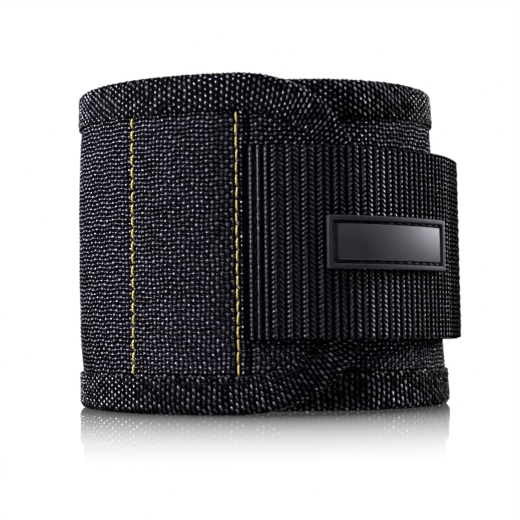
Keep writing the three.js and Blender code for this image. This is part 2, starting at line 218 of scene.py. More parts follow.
# A pad over places along the band and rows across it, cut to each place's low and high edge.
def makePad(name, place, places, rows, low, high, top, bottom, underShares=(0, 1)):
    count, wide, under = len(places), len(rows), len(underShares)
    low = np.broadcast_to(low, count).astype(float)
    high = np.broadcast_to(high, count).astype(float)
    first = np.searchsorted(rows, low, side="right") - 1
    last = np.searchsorted(rows, high, side="left")
    first, last = np.maximum(first, 0), np.minimum(last, wide - 1)
    column = np.arange(wide)[None, :]
    ids = np.arange(count)[:, None] * wide + np.clip(column, first[:, None], last[:, None])
    z = np.clip(rows[None, :], low[:, None], high[:, None])
    s = np.broadcast_to(places[:, None], z.shape)
    shares = np.array(underShares)[None, :]
    zUnder = low[:, None] + shares * (high - low)[:, None]
    sUnder = np.broadcast_to(places[:, None], zUnder.shape)
    idsUnder = count * wide + np.arange(count * under).reshape(count, under)
    points = np.concatenate([place(s, z, top(s, z)).reshape(-1, 3),
                             place(sUnder, zUnder, bottom(sUnder, zUnder)).reshape(-1, 3)])
    flat = np.concatenate([np.stack([s, z], -1).reshape(-1, 2),
                           np.stack([sUnder, zUnder], -1).reshape(-1, 2)])

    def cells(grid):
        return np.stack([grid[:-1, :-1], grid[1:, :-1], grid[1:, 1:], grid[:-1, 1:]], -1).reshape(-1, 4)

    lower = ids[np.arange(count), first]
    upper = ids[np.arange(count), last]
    foot, head = idsUnder[:, 0], idsUnder[:, -1]
    quads = np.concatenate([
        cells(ids), cells(idsUnder)[:, ::-1],
        np.stack([lower[:-1], foot[:-1], foot[1:], lower[1:]], -1),
        np.stack([upper[:-1], upper[1:], head[1:], head[:-1]], -1),
    ])
    start = [*ids[0, first[0]:last[0] + 1], *idsUnder[0][::-1]]
    end = [*idsUnder[-1], *ids[-1, first[-1]:last[-1] + 1][::-1]]
    return makePiece(name, points, quads, [start, end], flat)


# A bar: one closed outline carried through a list of steps. points is steps x outline x 3.
def makeBar(name, points, flat):
    steps, count = points.shape[:2]
    ids = np.arange(steps * count).reshape(steps, count)
    near, far = ids[:-1], ids[1:]
    quads = np.stack([near, np.roll(near, -1, 1), np.roll(far, -1, 1), far], -1).reshape(-1, 4)
    caps = [ids[0][::-1].tolist(), ids[-1].tolist()]
    return makePiece(name, points.reshape(-1, 3), quads, caps, flat.reshape(-1, 2))


# A level face for a pad.
def flatAt(h):
    return lambda s, z: h + 0 * z


# Even steps that fall on whole shares of a weave, with the two ends kept and no step crowded against them.
def alignedPlaces(start, end, step, crowded=0.3):
    inner = np.arange(math.ceil(start / step + crowded), math.floor(end / step - crowded) + 1) * step
    return np.concatenate([[start], inner, [end]])


# finishes

def calc(tree, operation, first, second=None, third=None, clamp=False):
    node = tree.nodes.new("ShaderNodeMath")
    node.operation = operation
    node.use_clamp = clamp
    for socket, value in zip(node.inputs, (first, second, third)):
        if isinstance(value, (int, float)):
            socket.default_value = value
        elif value is not None:
            tree.links.new(value, socket)
    return node.outputs[0]


def toneBy(tree, shader, share, dark, light):
    node = tree.nodes.new("ShaderNodeMix")
    node.data_type = "RGBA"
    tree.links.new(share, node.inputs["Factor"])
    node.inputs[6].default_value = (*dark, 1)
    node.inputs[7].default_value = (*light, 1)
    tree.links.new(node.outputs[2], shader.inputs["Base Color"])


def noiseOf(tree, scale, detail=2, roughness=0.5):
    node = tree.nodes.new("ShaderNodeTexNoise")
    node.inputs["Scale"].default_value = scale
    node.inputs["Detail"].default_value = detail
    node.inputs["Roughness"].default_value = roughness
    tree.links.new(tree.nodes.new("ShaderNodeTexCoord").outputs["Object"], node.inputs["Vector"])
    return node.outputs["Fac"]


def cellsOf(tree, scale):
    node = tree.nodes.new("ShaderNodeTexVoronoi")
    node.inputs["Scale"].default_value = scale
    tree.links.new(tree.nodes.new("ShaderNodeTexCoord").outputs["Object"], node.inputs["Vector"])
    return node.outputs["Distance"]


def stretched(tree, value, low, high, toLow=0, toHigh=1):
    node = tree.nodes.new("ShaderNodeMapRange")
    tree.links.new(value, node.inputs["Value"])
    for name, number in (("From Min", low), ("From Max", high), ("To Min", toLow), ("To Max", toHigh)):
        node.inputs[name].default_value = number
    return node.outputs["Result"]


def roughBy(tree, shader, share, atNone, atFull):
    tree.links.new(stretched(tree, share, 0, 1, atNone, atFull), shader.inputs["Roughness"])


# The place on the flat cloth, along and across, in millimetres.
def flatPlace(tree):
    node = tree.nodes.new("ShaderNodeUVMap")
    node.uv_map = "cloth"
    parts = tree.nodes.new("ShaderNodeSeparateXYZ")
    tree.links.new(node.outputs["UV"], parts.inputs[0])
    return parts.outputs[0], parts.outputs[1]


def cellNoise(tree, a, b):
    pair = tree.nodes.new("ShaderNodeCombineXYZ")
    tree.links.new(a, pair.inputs[0])
    tree.links.new(b, pair.inputs[1])
    node = tree.nodes.new("ShaderNodeTexWhiteNoise")
    node.noise_dimensions = "2D"
    tree.links.new(pair.outputs[0], node.inputs["Vector"])
    return node.outputs["Value"]


def raised(tree, shader, heightValue, distance):
    node = tree.nodes.new("ShaderNodeBump")
    node.inputs["Strength"].default_value = 1
    node.inputs["Distance"].default_value = distance
    tree.links.new(heightValue, node.inputs["Height"])
    tree.links.new(node.outputs["Normal"], shader.inputs["Normal"])


# The tint darkens the gloss of gaps between yarns, which are made metallic black as a painted shade, where
# they are seen at a slant.
def newFinish(name, specular=0.5, sheen=0.0, metallic=0.0, ior=1.5, tint=1.0):
    material = bpy.data.materials.new(name)
    material.use_nodes = True
    shader = material.node_tree.nodes["Principled BSDF"]
    shader.inputs["Specular IOR Level"].default_value = specular
    shader.inputs["Sheen Weight"].default_value = sheen
    shader.inputs["Metallic"].default_value = metallic
    shader.inputs["IOR"].default_value = ior
    shader.inputs["Specular Tint"].default_value = (tint, tint, tint, 1)
    return material, material.node_tree, shader


# The shapes of the two weaves, which their materials and their meshes share.
wandering = {"slow": 0.31, "swing": 1.9, "quick": 0.77}
yarnForm = {"dashPower": 0.6, "crossingPower": 0.3}


def wobble(tree, value, other, size):
    turned = calc(tree, "SINE", calc(tree, "MULTIPLY", value, wandering["slow"]))
    quick = calc(tree, "MULTIPLY", other, wandering["quick"])
    wave = calc(tree, "SINE", calc(tree, "MULTIPLY_ADD", turned, wandering["swing"], quick))
    return calc(tree, "MULTIPLY_ADD", wave, size, value)


def sineHump(tree, share):
    return calc(tree, "SINE", calc(tree, "MULTIPLY", share, math.pi), clamp=True)


# Yarn floats in columns that step by half a period from one to the next, with the lower crossing yarn between
# them. Returns the yarn's crown, the place across the yarn, and a random share for each float.
def yarnFloats(tree, u, v, look):
    u, v = wobble(tree, u, v, look["wobble"]), wobble(tree, v, u, look["wobble"])
    column = calc(tree, "FLOOR", calc(tree, "DIVIDE", u, look["columnPitch"]))
    across = calc(tree, "FRACT", calc(tree, "DIVIDE", u, look["columnPitch"]))
    step = calc(tree, "MULTIPLY", calc(tree, "FLOORED_MODULO", column, 2.0), 0.5)
    lean = calc(tree, "MULTIPLY", calc(tree, "SUBTRACT", across, 0.5), look["slant"])
    along = calc(tree, "ADD", calc(tree, "ADD", calc(tree, "DIVIDE", v, look["dashPeriod"]), step), lean)
    row = calc(tree, "FLOOR", along)
    place = calc(tree, "FRACT", along)
    inDash = calc(tree, "DIVIDE", place, look["dashShare"], clamp=True)
    between = calc(tree, "SUBTRACT", place, look["dashShare"])
    between = calc(tree, "DIVIDE", between, 1 - look["dashShare"], clamp=True)
    dash = calc(tree, "POWER", sineHump(tree, inDash), yarnForm["dashPower"])
    crossing = calc(tree, "MULTIPLY", sineHump(tree, between), look["crossing"])
    ridge = sineHump(tree, across)
    yarn = calc(tree, "MULTIPLY", dash, calc(tree, "POWER", ridge, look["ridgePower"]))
    under = calc(tree, "MULTIPLY", calc(tree, "POWER", ridge, yarnForm["crossingPower"]), crossing)
    return calc(tree, "MAXIMUM", yarn, under), across, cellNoise(tree, column, row)


# Plain weave: from cell to cell the yarn along the band and the yarn across it take turns on top.
def plainWeave(tree, u, v, look):
    u, v = wobble(tree, u, v, look["wobble"]), wobble(tree, v, u, look["wobble"])
    u, v = calc(tree, "DIVIDE", u, look["cellAlong"]), calc(tree, "DIVIDE", v, look["cellAcross"])
    column, row = calc(tree, "FLOOR", u), calc(tree, "FLOOR", v)
    odd = calc(tree, "FLOORED_MODULO", calc(tree, "ADD", column, row), 2.0)
    turn = calc(tree, "MULTIPLY_ADD", odd, -2.0, 1.0)
    across = calc(tree, "FRACT", u)
    waveAlong = sineHump(tree, across)
    waveAcross = sineHump(tree, calc(tree, "FRACT", v))
    rest = look["rest"]
    lying = calc(tree, "MULTIPLY_ADD", calc(tree, "MULTIPLY", waveAlong, turn), 1 - rest, rest)
    standing = calc(tree, "MULTIPLY_ADD", calc(tree, "MULTIPLY", waveAcross, turn), rest - 1, rest)
    lying = calc(tree, "MULTIPLY", calc(tree, "POWER", waveAcross, look["lyingPower"]), lying)
    standing = calc(tree, "MULTIPLY", calc(tree, "POWER", waveAlong, look["standingPower"]), standing)
    lying = calc(tree, "MULTIPLY", lying, look["lyingShare"])
    return calc(tree, "MAXIMUM", lying, standing), across, cellNoise(tree, column, row)


# Yarns are glossy, each a little unlike the next. Crowns are coloured lighter and the gaps between them near
# black and metallic black: painted shade between the yarns.
def wovenFinish(name, look, weave):
    material, tree, shader = newFinish(name, look["specular"], ior=look["ior"], tint=look["tint"])
    u, v = flatPlace(tree)
    yarn, across, share = weave(tree, u, v, look)
    cloud = stretched(tree, noiseOf(tree, look["cloudScale"], 3), *look["cloudRange"])
    tone = calc(tree, "MULTIPLY", yarn, calc(tree, "MULTIPLY_ADD", share, *look["yarnTone"]))
    tone = calc(tree, "MULTIPLY", tone, calc(tree, "MULTIPLY_ADD", cloud, *look["cloudTone"]), clamp=True)
    toneBy(tree, shader, tone, look["gapShadeColour"], look["yarnColour"])
    rough = stretched(tree, yarn, *look["roughRange"], look["gapRough"], look["yarnRough"])
    spread = calc(tree, "MULTIPLY", calc(tree, "SUBTRACT", share, 0.5), look["roughSpread"])
    tree.links.new(calc(tree, "ADD", rough, spread), shader.inputs["Roughness"])
    uneven = look["uneven"]
    lit = calc(tree, "MULTIPLY", yarn, calc(tree, "MULTIPLY_ADD", share, uneven, look["lit"] - uneven / 2))
    # The gaps turn metallic black, a painted shade between the yarns.
    tree.links.new(stretched(tree, lit, look["gapShadeFrom"], look["gapShadeReach"], 1, 0), shader.inputs["Metallic"])
    filament = calc(tree, "SINE", calc(tree, "MULTIPLY", across, 2 * math.pi * look["filaments"]))
    fuzz = noiseOf(tree, look["fuzzScale"])
    relief = calc(tree, "MULTIPLY_ADD", filament, look["filamentShare"], yarn)
    relief = calc(tree, "MULTIPLY_ADD", fuzz, look["fuzzShare"], relief)
    raised(tree, shader, relief, look["bump"] * mm)
    return material


wovenLook = {
    "specular": 1.0, "tint": 0.25, "gapRough": 0.45, "roughRange": (0.2, 0.75), "roughSpread": 0.16,
    "yarnTone": (0.5, 0.6), "cloudTone": (0.3, 0.8), "cloudRange": (0.3, 0.7), "filaments": 4, "lit": 0.9,
}
tapeLook = {
    **tape, **wovenLook, "gapShadeColour": (0.0006, 0.0006, 0.0008), "yarnColour": (0.006, 0.0058, 0.0072),
    "yarnRough": 0.25, "ior": 2.3, "uneven": 0.6, "cloudScale": 60, "filamentShare": 0.08,
    "fuzzScale": 2600, "fuzzShare": 0.15, "bump": 0.26, "gapShadeFrom": 0.42, "gapShadeReach": 0.8,
}
panelLook = {
    **wovenLook, "cellAlong": 1.27, "cellAcross": 1.15, "samplesAlong": 3.5, "samplesAcross": 4,
    "relief": 0.4, "wobble": 0.16, "rest": 0.5, "lyingPower": 1.6, "standingPower": 0.8, "lyingShare": 0.72,
    "gapShadeColour": (0.0006, 0.0006, 0.001), "yarnColour": (0.006, 0.0058, 0.0082),
    "yarnRough": 0.22, "ior": 2.0, "uneven": 0.15, "cloudScale": 45, "filamentShare": 0.07,
    "fuzzScale": 2400, "fuzzShare": 0.13, "bump": 0.24, "gapShadeFrom": 0.45, "gapShadeReach": 0.85,
}
tapeFinish = wovenFinish("bindingTape", tapeLook, yarnFloats)
panelFinish = wovenFinish("panelNylon", panelLook, plainWeave)


# The same weaves as heights, for the meshes. Each yarn's height differs a little, and the middle height is 0.
reliefForm = {"middle": 0.6, "cell": (0.88, 0.14), "yarn": (0.7, 0.5)}


def wobbled(u, v, size):
    form = (wandering["quick"], wandering["swing"], wandering["slow"])
    return u + size * bentWave(v, u, *form), v + size * bentWave(u, v, *form)


def reliefHeight(yarn, share, look, least, spread):
    return look["relief"] * (yarn * (least + spread * share) - reliefForm["middle"])


def plainRelief(u, v, look):
    u, v = wobbled(u, v, look["wobble"])
    u, v = u / look["cellAlong"], v / look["cellAcross"]
    column, row = np.floor(u), np.floor(v)
    turn = 1 - 2 * ((column + row) % 2)
    waveAlong, waveAcross = np.sin(math.pi * (u - column)).clip(0), np.sin(math.pi * (v - row)).clip(0)
    rest = look["rest"]
    lying = waveAcross ** look["lyingPower"] * (rest + (1 - rest) * turn * waveAlong) * look["lyingShare"]
    standing = waveAlong ** look["standingPower"] * (rest - (1 - rest) * turn * waveAcross)
    return reliefHeight(np.maximum(lying, standing), cellShare(column, row), look, *reliefForm["cell"])


def yarnRelief(u, v, look):
    u, v = wobbled(u, v, look["wobble"])
    column = np.floor(u / look["columnPitch"] + hair)
    across = u / look["columnPitch"] - column
    along = v / look["dashPeriod"] + 0.5 * (column % 2) + look["slant"] * (across - 0.5)
    row = np.floor(along + hair)
    inDash = np.clip((along - row) / look["dashShare"], 0, 1)
    between = np.clip((along - row - look["dashShare"]) / (1 - look["dashShare"]), 0, 1)
    dash = np.sin(math.pi * inDash).clip(0) ** yarnForm["dashPower"]
    ridge = np.sin(math.pi * across.clip(0, 1)).clip(0)
    under = look["crossing"] * np.sin(math.pi * between).clip(0) * ridge ** yarnForm["crossingPower"]
    yarn = np.maximum(dash * ridge ** look["ridgePower"], under)
    return reliefHeight(yarn, cellShare(column, row), look, *reliefForm["yarn"])


def dress(piece, material, slot, *nodes):
    piece.data.materials.append(material)
    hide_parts(*nodes)


foldReach = 5  # how far on each side of a seam foldAt looks; no fold is spread over it


def foldAt(piece, bodyBefore, bodyAfter, s, place=onBand, reach=foldReach):
    start = place(np.array(s - reach), np.array(height / 2), np.array(0))
    end = place(np.array(s + reach), np.array(height / 2), np.array(0))
    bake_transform(piece)


# panel, the nylon face of the band

panel = {
    "seamGroove": 0.45, "grooveWidth": 1.1, "wave": 0.1, "underRows": 9,
    "foldLine": -2.5, "foldDepth": 0.8, "foldWidth": 0.8, "foldRidge": 0.25, "ridgeBehind": 2.5,
    "waveAlong": (0.31, 2, 0.13), "waveAcross": (0.21, 1.3, 0.09),
}
panelAlong = panelLook["cellAlong"] / panelLook["samplesAlong"]
panelAcross = panelLook["cellAcross"] / panelLook["samplesAcross"]
seams = (backSeam, sideSeam, frontSeam, tongueSeam)


# Beside the tongue's seam the cloth is folded under, which leaves a ridge and a step along the strap's root.
def panelFold(s):
    past = (s - panel["foldLine"]) / panel["foldWidth"]
    ridge = panel["foldRidge"] * np.exp(-(past + panel["ridgeBehind"]) ** 2)
    return panel["foldDepth"] * np.exp(-past ** 2) - ridge


def panelSoft(s, z):
    swell = crown(s, z) - panelFold(s)
    for seam in seams:
        swell = swell - panel["seamGroove"] * np.exp(-((s - seam) / panel["grooveWidth"]) ** 2)
    wave = bentWave(s, z, *panel["waveAlong"]) * bentWave(z, s, *panel["waveAcross"])
    return swell + panel["wave"] * wave


def panelFace(s, z):
    return panelSoft(s, z) + plainRelief(s, z, panelLook)


# The tongue's outline, as places along the band's edge with the way in from each.
shares = np.array(tongue["cornerShares"])
cornerS = tongueSeam + shares[:, 0] * (tongue["reach"] - tongueSeam)
cornerZ = height - shares[:, 1] * height / 2
corner = np.stack([cornerS, cornerZ], -1)
t = np.linspace(0, 1, tongue["steps"] + 1)[:, None]
curve = ((1 - t) ** 3 * corner[0] + 3 * (1 - t) ** 2 * t * corner[1]
         + 3 * (1 - t) * t ** 2 * corner[2] + t ** 3 * corner[3])
lowerCurve = np.stack([curve[::-1, 0], height - curve[::-1, 1]], -1)
edgeRoute = np.concatenate([[[bandEnd, height]], curve, lowerCurve, [[bandEnd, 0]]])
edgeSteps = np.linalg.norm(np.diff(edgeRoute, axis=0), axis=1)
edgeAt = bandEnd + np.concatenate([[0], np.cumsum(edgeSteps)])
edgeWay = np.diff(edgeRoute, axis=0) / edgeSteps[:, None]
edgeMiddle = (edgeAt[1:] + edgeAt[:-1]) / 2
lowerShift = edgeAt[-1] + bandEnd  # on the lower edge, the way along the tape is this less s


def edgePlace(u):
    s = np.interp(u, edgeAt, edgeRoute[:, 0])
    z = np.interp(u, edgeAt, edgeRoute[:, 1])
    alongS = np.interp(u, edgeMiddle, edgeWay[:, 0])
    alongZ = np.interp(u, edgeMiddle, edgeWay[:, 1])
    length = np.hypot(alongS, alongZ)
    return s, z, alongZ / length, -alongS / length


def tongueHalf(s, inset):
    u = np.linspace(bandEnd, edgeAt[-1] / 2 + bandEnd / 2, tongue["edgeSamples"])
    edgeS, edgeZ, inS, inZ = edgePlace(u)
    return np.interp(s, edgeS + inS * inset, edgeZ + inZ * inset)


tongueLayerEnd = tongue["reach"] - layerInset


# Low and high edge of a layer, which follow the tongue's outline where it runs to the tip.
def layerEdges(places):
    if places[-1] < tongueLayerEnd:
        return layerInset, height - layerInset
    high = tongueHalf(places, layerInset)
    return height - high, high


# The lengths that the panel and the lining are made in, and the bodies whose solids each stands for.
layerLengths = [
    ("tucked", bandEnd + layerInset, sideEnd, ["back"]),
    ("back", sideEnd, backSeam, ["back"]),
    ("left", backSeam, midPocket, ["back", "pocket"]),
    ("tongue", midPocket, tongueLayerEnd, ["pocket", "tongue"]),
]


def tieToBodies(piece, name):
    if name.endswith("_left"):
        foldAt(piece, "back", "pocket", frontSeam)
    elif name.endswith("_tongue"):
        foldAt(piece, "pocket", "tongue", tongueSeam)
    else:
        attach(piece, "back")


def makeLayer(kind, node, finish, slot, stepAlong, stepAcross, top, bottom, underShares=(0, 1)):
    rows = alignedPlaces(layerInset, height - layerInset, stepAcross)
    for part, start, end, bodies in layerLengths:
        name = kind + "_" + part
        places = alignedPlaces(start, end, stepAlong)
        piece = makePad(name, onBand, places, rows, *layerEdges(places), top, bottom, underShares)
        dress(piece, finish, slot, *[body + "_" + node for body in bodies])
        tieToBodies(piece, name)


def panelUnder(s, z):
    return panelSoft(s, z) - band["shell"]


makeLayer("panel", "shell", panelFinish, "panel_nylon", panelAlong, panelAcross, panelFace, panelUnder,
          np.linspace(0, 1, panel["underRows"]))
print("panel made")

# binding tape, folded over the edges


def arcPoints(middle, reach, fromAngle, toAngle, count):
    angles = np.radians(np.linspace(fromAngle, toAngle, count))
    return [(middle[0] + reach * math.cos(a), middle[1] + reach * math.sin(a)) for a in angles]


tapeFoot = -bandThickness - tapeTop
width, bend, lip = tape["width"], tape["round"], tape["edgeRound"]
outerPath = np.array(
    arcPoints((width - lip, tapeTop - lip), lip, 0, 90, tape["lipSteps"])
    + arcPoints((bend, tapeTop - bend), bend, 90, 180, tape["bendSteps"])
    + arcPoints((bend, tapeFoot + bend), bend, 180, 270, tape["bendSteps"])
    + arcPoints((width - lip, tapeFoot + lip), lip, 270, 360, tape["lipSteps"]))
innerBend = bend - band["tape"]
innerPath = np.array(
    [(width - k, -bandThickness - fit) for k in tape["innerPlaces"]]
    + arcPoints((bend, tapeFoot + bend), innerBend, 270, 180, tape["innerBendSteps"])
    + arcPoints((bend, tapeTop - bend), innerBend, 180, 90, tape["innerBendSteps"])
    + [(width - k, fit) for k in reversed(tape["innerPlaces"])])


# The tape's cross-section: its outer face in even steps of the weave, then its inner face.
def tapeSection():
    lengths = np.concatenate([[0], np.cumsum(np.linalg.norm(np.diff(outerPath, axis=0), axis=1))])
    at = alignedPlaces(0, lengths[-1], tape["dashPeriod"] / tape["samplesAcross"])
    outer = np.stack([np.interp(at, lengths, outerPath[:, i]) for i in (0, 1)], -1)
    way = np.gradient(outer, axis=0)
    way /= np.linalg.norm(way, axis=1)[:, None]
    normal = np.stack([way[:, 1], -way[:, 0]], -1)
    calm = eased(at, 0, tape["calmReach"]) * eased(lengths[-1] - at, 0, tape["calmReach"])
    innerAt = at[-1] + 1 + np.arange(len(innerPath))
    return (np.concatenate([outer, innerPath]), np.concatenate([normal, 0 * innerPath]),
            np.concatenate([at, innerAt]), np.concatenate([calm, np.zeros(len(innerPath))]))


section, sectionNormal, sectionAt, sectionCalm = tapeSection()


def makeTape(name, along, edge):
    relief = yarnRelief(along[:, None], sectionAt[None, :], tape) * sectionCalm[None, :]
    d = section[None, :, 0] + relief * sectionNormal[None, :, 0]
    h = section[None, :, 1] + relief * sectionNormal[None, :, 1]
    s, z, inS, inZ = (part[:, None] for part in edge)
    flat = np.stack(np.broadcast_arrays(along[:, None], sectionAt[None, :]), -1)
    return makeBar(name, onBand(s + inS * d, z + inZ * d, h), flat)


tapeStep = tape["columnPitch"] / tape["samplesAlong"]
upperEnd, lowerStart = midPocket, lowerShift - midPocket
tapeParts = [
    ("tape_top_tucked", bandEnd, sideEnd, ["back_binding_top"]),
    ("tape_top_back", sideEnd, backSeam, ["back_binding_top"]),
    ("tape_top_left", backSeam, upperEnd, ["back_binding_top", "pocket_binding_top"]),
    ("tape_tongue", upperEnd, lowerStart, ["pocket_binding_top", "pocket_binding_bottom", "tongue_binding"]),
    ("tape_bottom_left", lowerStart, lowerShift - backSeam, ["pocket_binding_bottom", "back_binding_bottom"]),
    ("tape_bottom_back", lowerShift - backSeam, lowerShift - sideEnd, ["back_binding_bottom"]),
    ("tape_bottom_tucked", lowerShift - sideEnd, lowerShift - bandEnd, ["back_binding_bottom"]),
]
for name, start, end, nodes in tapeParts:
    along = alignedPlaces(start, end, tapeStep)
    piece = makeTape(name, along, edgePlace(along))
    dress(piece, tapeFinish, "binding_tape", *nodes)
    tieToBodies(piece, name)

along = alignedPlaces(width + fit, height - width - fit, tapeStep)
endEdge = (bandEnd + 0 * along, along, 1 + 0 * along, 0 * along)
piece = makeTape("tape_end", along, endEdge)
dress(piece, tapeFinish, "binding_tape", "back_binding_end")
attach(piece, "back")
print("binding tape made")

# foam pads, each with a blind recess for every magnet

foam = {
    "step": 2.4, "recessSides": 32, "dimple": 0.06, "dimplePace": (1.1, 0.9), "poreScale": 1400,
    "poreWide": 0.8, "poreDepth": 0.25, "dark": (0.012, 0.012, 0.013), "light": (0.05, 0.05, 0.053),
    "rough": (0.98, 0.86),
}
magnet = {"radius": 5, "thickness": 2, "sink": 0.6, "pitch": 13.2, "inPocket": 5}


def foamLook():
    material, tree, shader = newFinish("paddingFoam", specular=0.3, sheen=0.2)
    pores = stretched(tree, cellsOf(tree, foam["poreScale"]), 0, foam["poreWide"])
    toneBy(tree, shader, pores, foam["dark"], foam["light"])
    roughBy(tree, shader, pores, *foam["rough"])
    raised(tree, shader, pores, foam["poreDepth"] * mm)
    return material


def foamFace(s, z):
    along, across = foam["dimplePace"]
    return crown(s, z) + foamTop + foam["dimple"] * np.sin(s * along) * np.sin(z * across)


def recess(pad, s, z):
    top = crown(np.array(s), np.array(z)) + foamTop - magnet["sink"]
    deep, mouth = onBand(s, z, top - magnet["thickness"] - fit), onBand(s, z, top + 2 * bandThickness)
    way = Vector((mouth - deep).tolist())
    bpy.ops.object.select_all(action="DESELECT")
    bpy.ops.mesh.primitive_cylinder_add(
        vertices=foam["recessSides"], radius=(magnet["radius"] + fit) * mm, depth=way.length,
        location=((mouth + deep) / 2).tolist(), rotation=way.to_track_quat("Z", "Y").to_euler())
    cutter = bpy.context.object
    cut = pad.modifiers.new("recess", "BOOLEAN")
    cut.operation = "DIFFERENCE"
    cut.solver = "EXACT"
    cut.object = cutter
    bpy.context.view_layer.objects.active = pad
    bpy.ops.object.modifier_apply(modifier=cut.name)
    bpy.data.objects.remove(cutter)


foamFinish = foamLook()
rows = alignedPlaces(layerInset, height - layerInset, foam["step"])
foamParts = [
    ("back", bandEnd + layerInset, frontSeam - fit / 2, [(backSeam, sideSeam), (sideSeam, frontSeam)]),
    ("pocket", frontSeam + fit / 2, tongueSeam - fit / 2, [(frontSeam, tongueSeam)]),
    ("tongue", tongueSeam + fit / 2, tongueLayerEnd, []),
]
for body, start, end, filled in foamParts:
    places = alignedPlaces(start, end, foam["step"])
    piece = makePad("foam_" + body, onBand, places, rows, *layerEdges(places), foamFace, flatAt(foamBottom))
    for near, far in filled:
        for i in range(magnet["inPocket"]):
            fromMiddle = (i - (magnet["inPocket"] - 1) / 2) * magnet["pitch"]
            recess(piece, (near + far) / 2, height / 2 + fromMiddle)
    dress(piece, foamFinish, "foam", body + "_foam")
    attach(piece, body)
print("foam made")

# lining, the mesh face on the wrist

lining = {
    "follow": 0.1, "knitPitch": 0.42, "knitShare": 0.12, "bump": 0.3, "cloudScale": 90,
    "cloudTone": (0.6, 0.6), "dark": (0.001, 0.001, 0.0012), "light": (0.012, 0.0118, 0.014),
    "rough": (0.9, 0.6),
}
meshHoles = {
    "columnPitch": 1.7, "dashPeriod": 2.6, "dashShare": 0.7, "slant": 0.0, "wobble": 0.0, "crossing": 0.0,
    "ridgePower": 1.0, "relief": 0.18, "samplesAlong": 3, "samplesAcross": 4,
}


def liningLook():
    material, tree, shader = newFinish("meshLining", specular=0.25, sheen=0.04)
    u, v = flatPlace(tree)
    hole = yarnFloats(tree, v, u, meshHoles)[0]
    knit = calc(tree, "MULTIPLY", calc(tree, "ADD", u, v), 2 * math.pi / lining["knitPitch"])
    cloud = noiseOf(tree, lining["cloudScale"], 3)
    tone = calc(tree, "SUBTRACT", 1.0, calc(tree, "POWER", hole, 0.5), clamp=True)
    tone = calc(tree, "MULTIPLY", tone, calc(tree, "MULTIPLY_ADD", cloud, *lining["cloudTone"]), clamp=True)
    toneBy(tree, shader, tone, lining["dark"], lining["light"])
    roughBy(tree, shader, tone, *lining["rough"])
    relief = calc(tree, "MULTIPLY_ADD", calc(tree, "SINE", knit), lining["knitShare"], tone)
    raised(tree, shader, relief, lining["bump"] * mm)
    return material


def liningFace(s, z):
    puffed = liningTop - band["lining"] - lining["follow"] * panelSoft(s, z)
    return puffed + yarnRelief(z, s, meshHoles)


holeSteps = (meshHoles["dashPeriod"] / meshHoles["samplesAcross"],
             meshHoles["columnPitch"] / meshHoles["samplesAlong"])
makeLayer("lining", "lining", liningLook(), "lining_mesh", *holeSteps, liningFace, flatAt(liningTop))
print("lining made")

# elastic strap

strap = {
    "width": 50, "raise": 0.2, "thickness": 2, "ribHeight": 0.4, "ribPitch": 1.85, "beadPitch": 1.24,
    "rootAngle": -4.85, "peelAngle": 6, "foldAngle": 66, "endAngle": 106, "splitAngle": 36,
    "lean": 1.0, "stand": 0.3, "drop": 0.9, "climbShare": 1.3, "foldReach": 4, "cornerRadius": 3,
    "rootEdge": 1.35, "plainRibs": 3, "hem": 4, "samplesAlong": 7, "samplesAcross": 5,
    "slant": 1.15, "cordPower": 3.0, "cordBead": 0.25, "beadFloor": 0.3, "beadPower": 0.9,
    "uneven": (0.85, 0.3), "apart": 1.2, "apartFrom": 30, "apartAt": 60,
    "selvedge": 0.4, "edgeThickness": 1.5, "edgeBead": 0.12, "edgeTuck": 0.35, "edgeEase": 0.6,
    "pressedAngle": 66, "pressedRibs": 8, "pressedRelief": 0.5, "pressedShadeShare": 0.66, "pressedEase": 1.2,
}
webbing = {
    "specular": 0.6, "ior": 1.7, "tint": 0.25, "rough": (0.45, 0.25), "unevenTone": (0.5, 0.65),
    "dark": (0.001, 0.001, 0.0013), "light": (0.0062, 0.006, 0.0073), "gapShadeFrom": 0.42, "gapShadeReach": 0.85,
    "rootShadeShare": 0.2, "rootEase": 0.1, "edgeShadeShare": 0.35, "twists": 3, "twistShare": 0.07,
    "fuzzScale": 2600, "fuzzShare": 0.2, "bump": 0.16,
}
fastening = {
    "loopThickness": 1.5, "loopWidth": 47, "loopStart": -235, "loopTuck": 40,
    "hookThickness": 1.2, "hookWidth": 46, "hookStart": 38, "hookBase": 0.45, "hookPitch": 1.35,
}
strapMiddle = height / 2 + strap["raise"]
strapLow = strapMiddle - strap["width"] / 2
strapStart, strapEnd = arcLength(strap["rootAngle"]), arcLength(strap["endAngle"])
strapPeel, strapFold = arcLength(strap["peelAngle"]), arcLength(strap["foldAngle"])
ribStart = strapStart + strap["rootEdge"]
strapHem = strapEnd - strap["hem"]


# The edge of a rib that is nearest to an angle round the wrist, in ribs counted from a start.
def nearestRib(angle, start):
    return start + round((arcLength(angle) - start) / strap["ribPitch"]) * strap["ribPitch"]


pressStart = nearestRib(strap["pressedAngle"], ribStart)
pressEnd = pressStart + strap["pressedRibs"] * strap["ribPitch"]
strapSplit = nearestRib(strap["splitAngle"], strapStart)


def strapLift(s):
    overTape = tapeTop * eased(s, strapPeel, tongue["reach"] - tape["width"] * strap["climbShare"])
    overTapes = fastening["loopThickness"] + fastening["hookThickness"] + 2 * fit - tapeTop
    share = np.clip((s - strapPeel) / (arcLength(90) - strapPeel), 0, 1)
    return fit + overTape + overTapes * np.sin(quarterTurn * share)


def onStrap(s, z, h):
    s, z, h = np.broadcast_arrays(s, z, h)
    reach = radius + strapLift(s) + h
    lower = z - strap["drop"] * eased(s, 0, arcLength(90))
    x, y = reach * np.sin(s / radius), -reach * np.cos(s / radius)
    return placed(x, y, lower, strap["lean"], strap["stand"])


def foldStrap(piece, before, after, s):
    foldAt(piece, before, after, s, onStrap, strap["foldReach"])


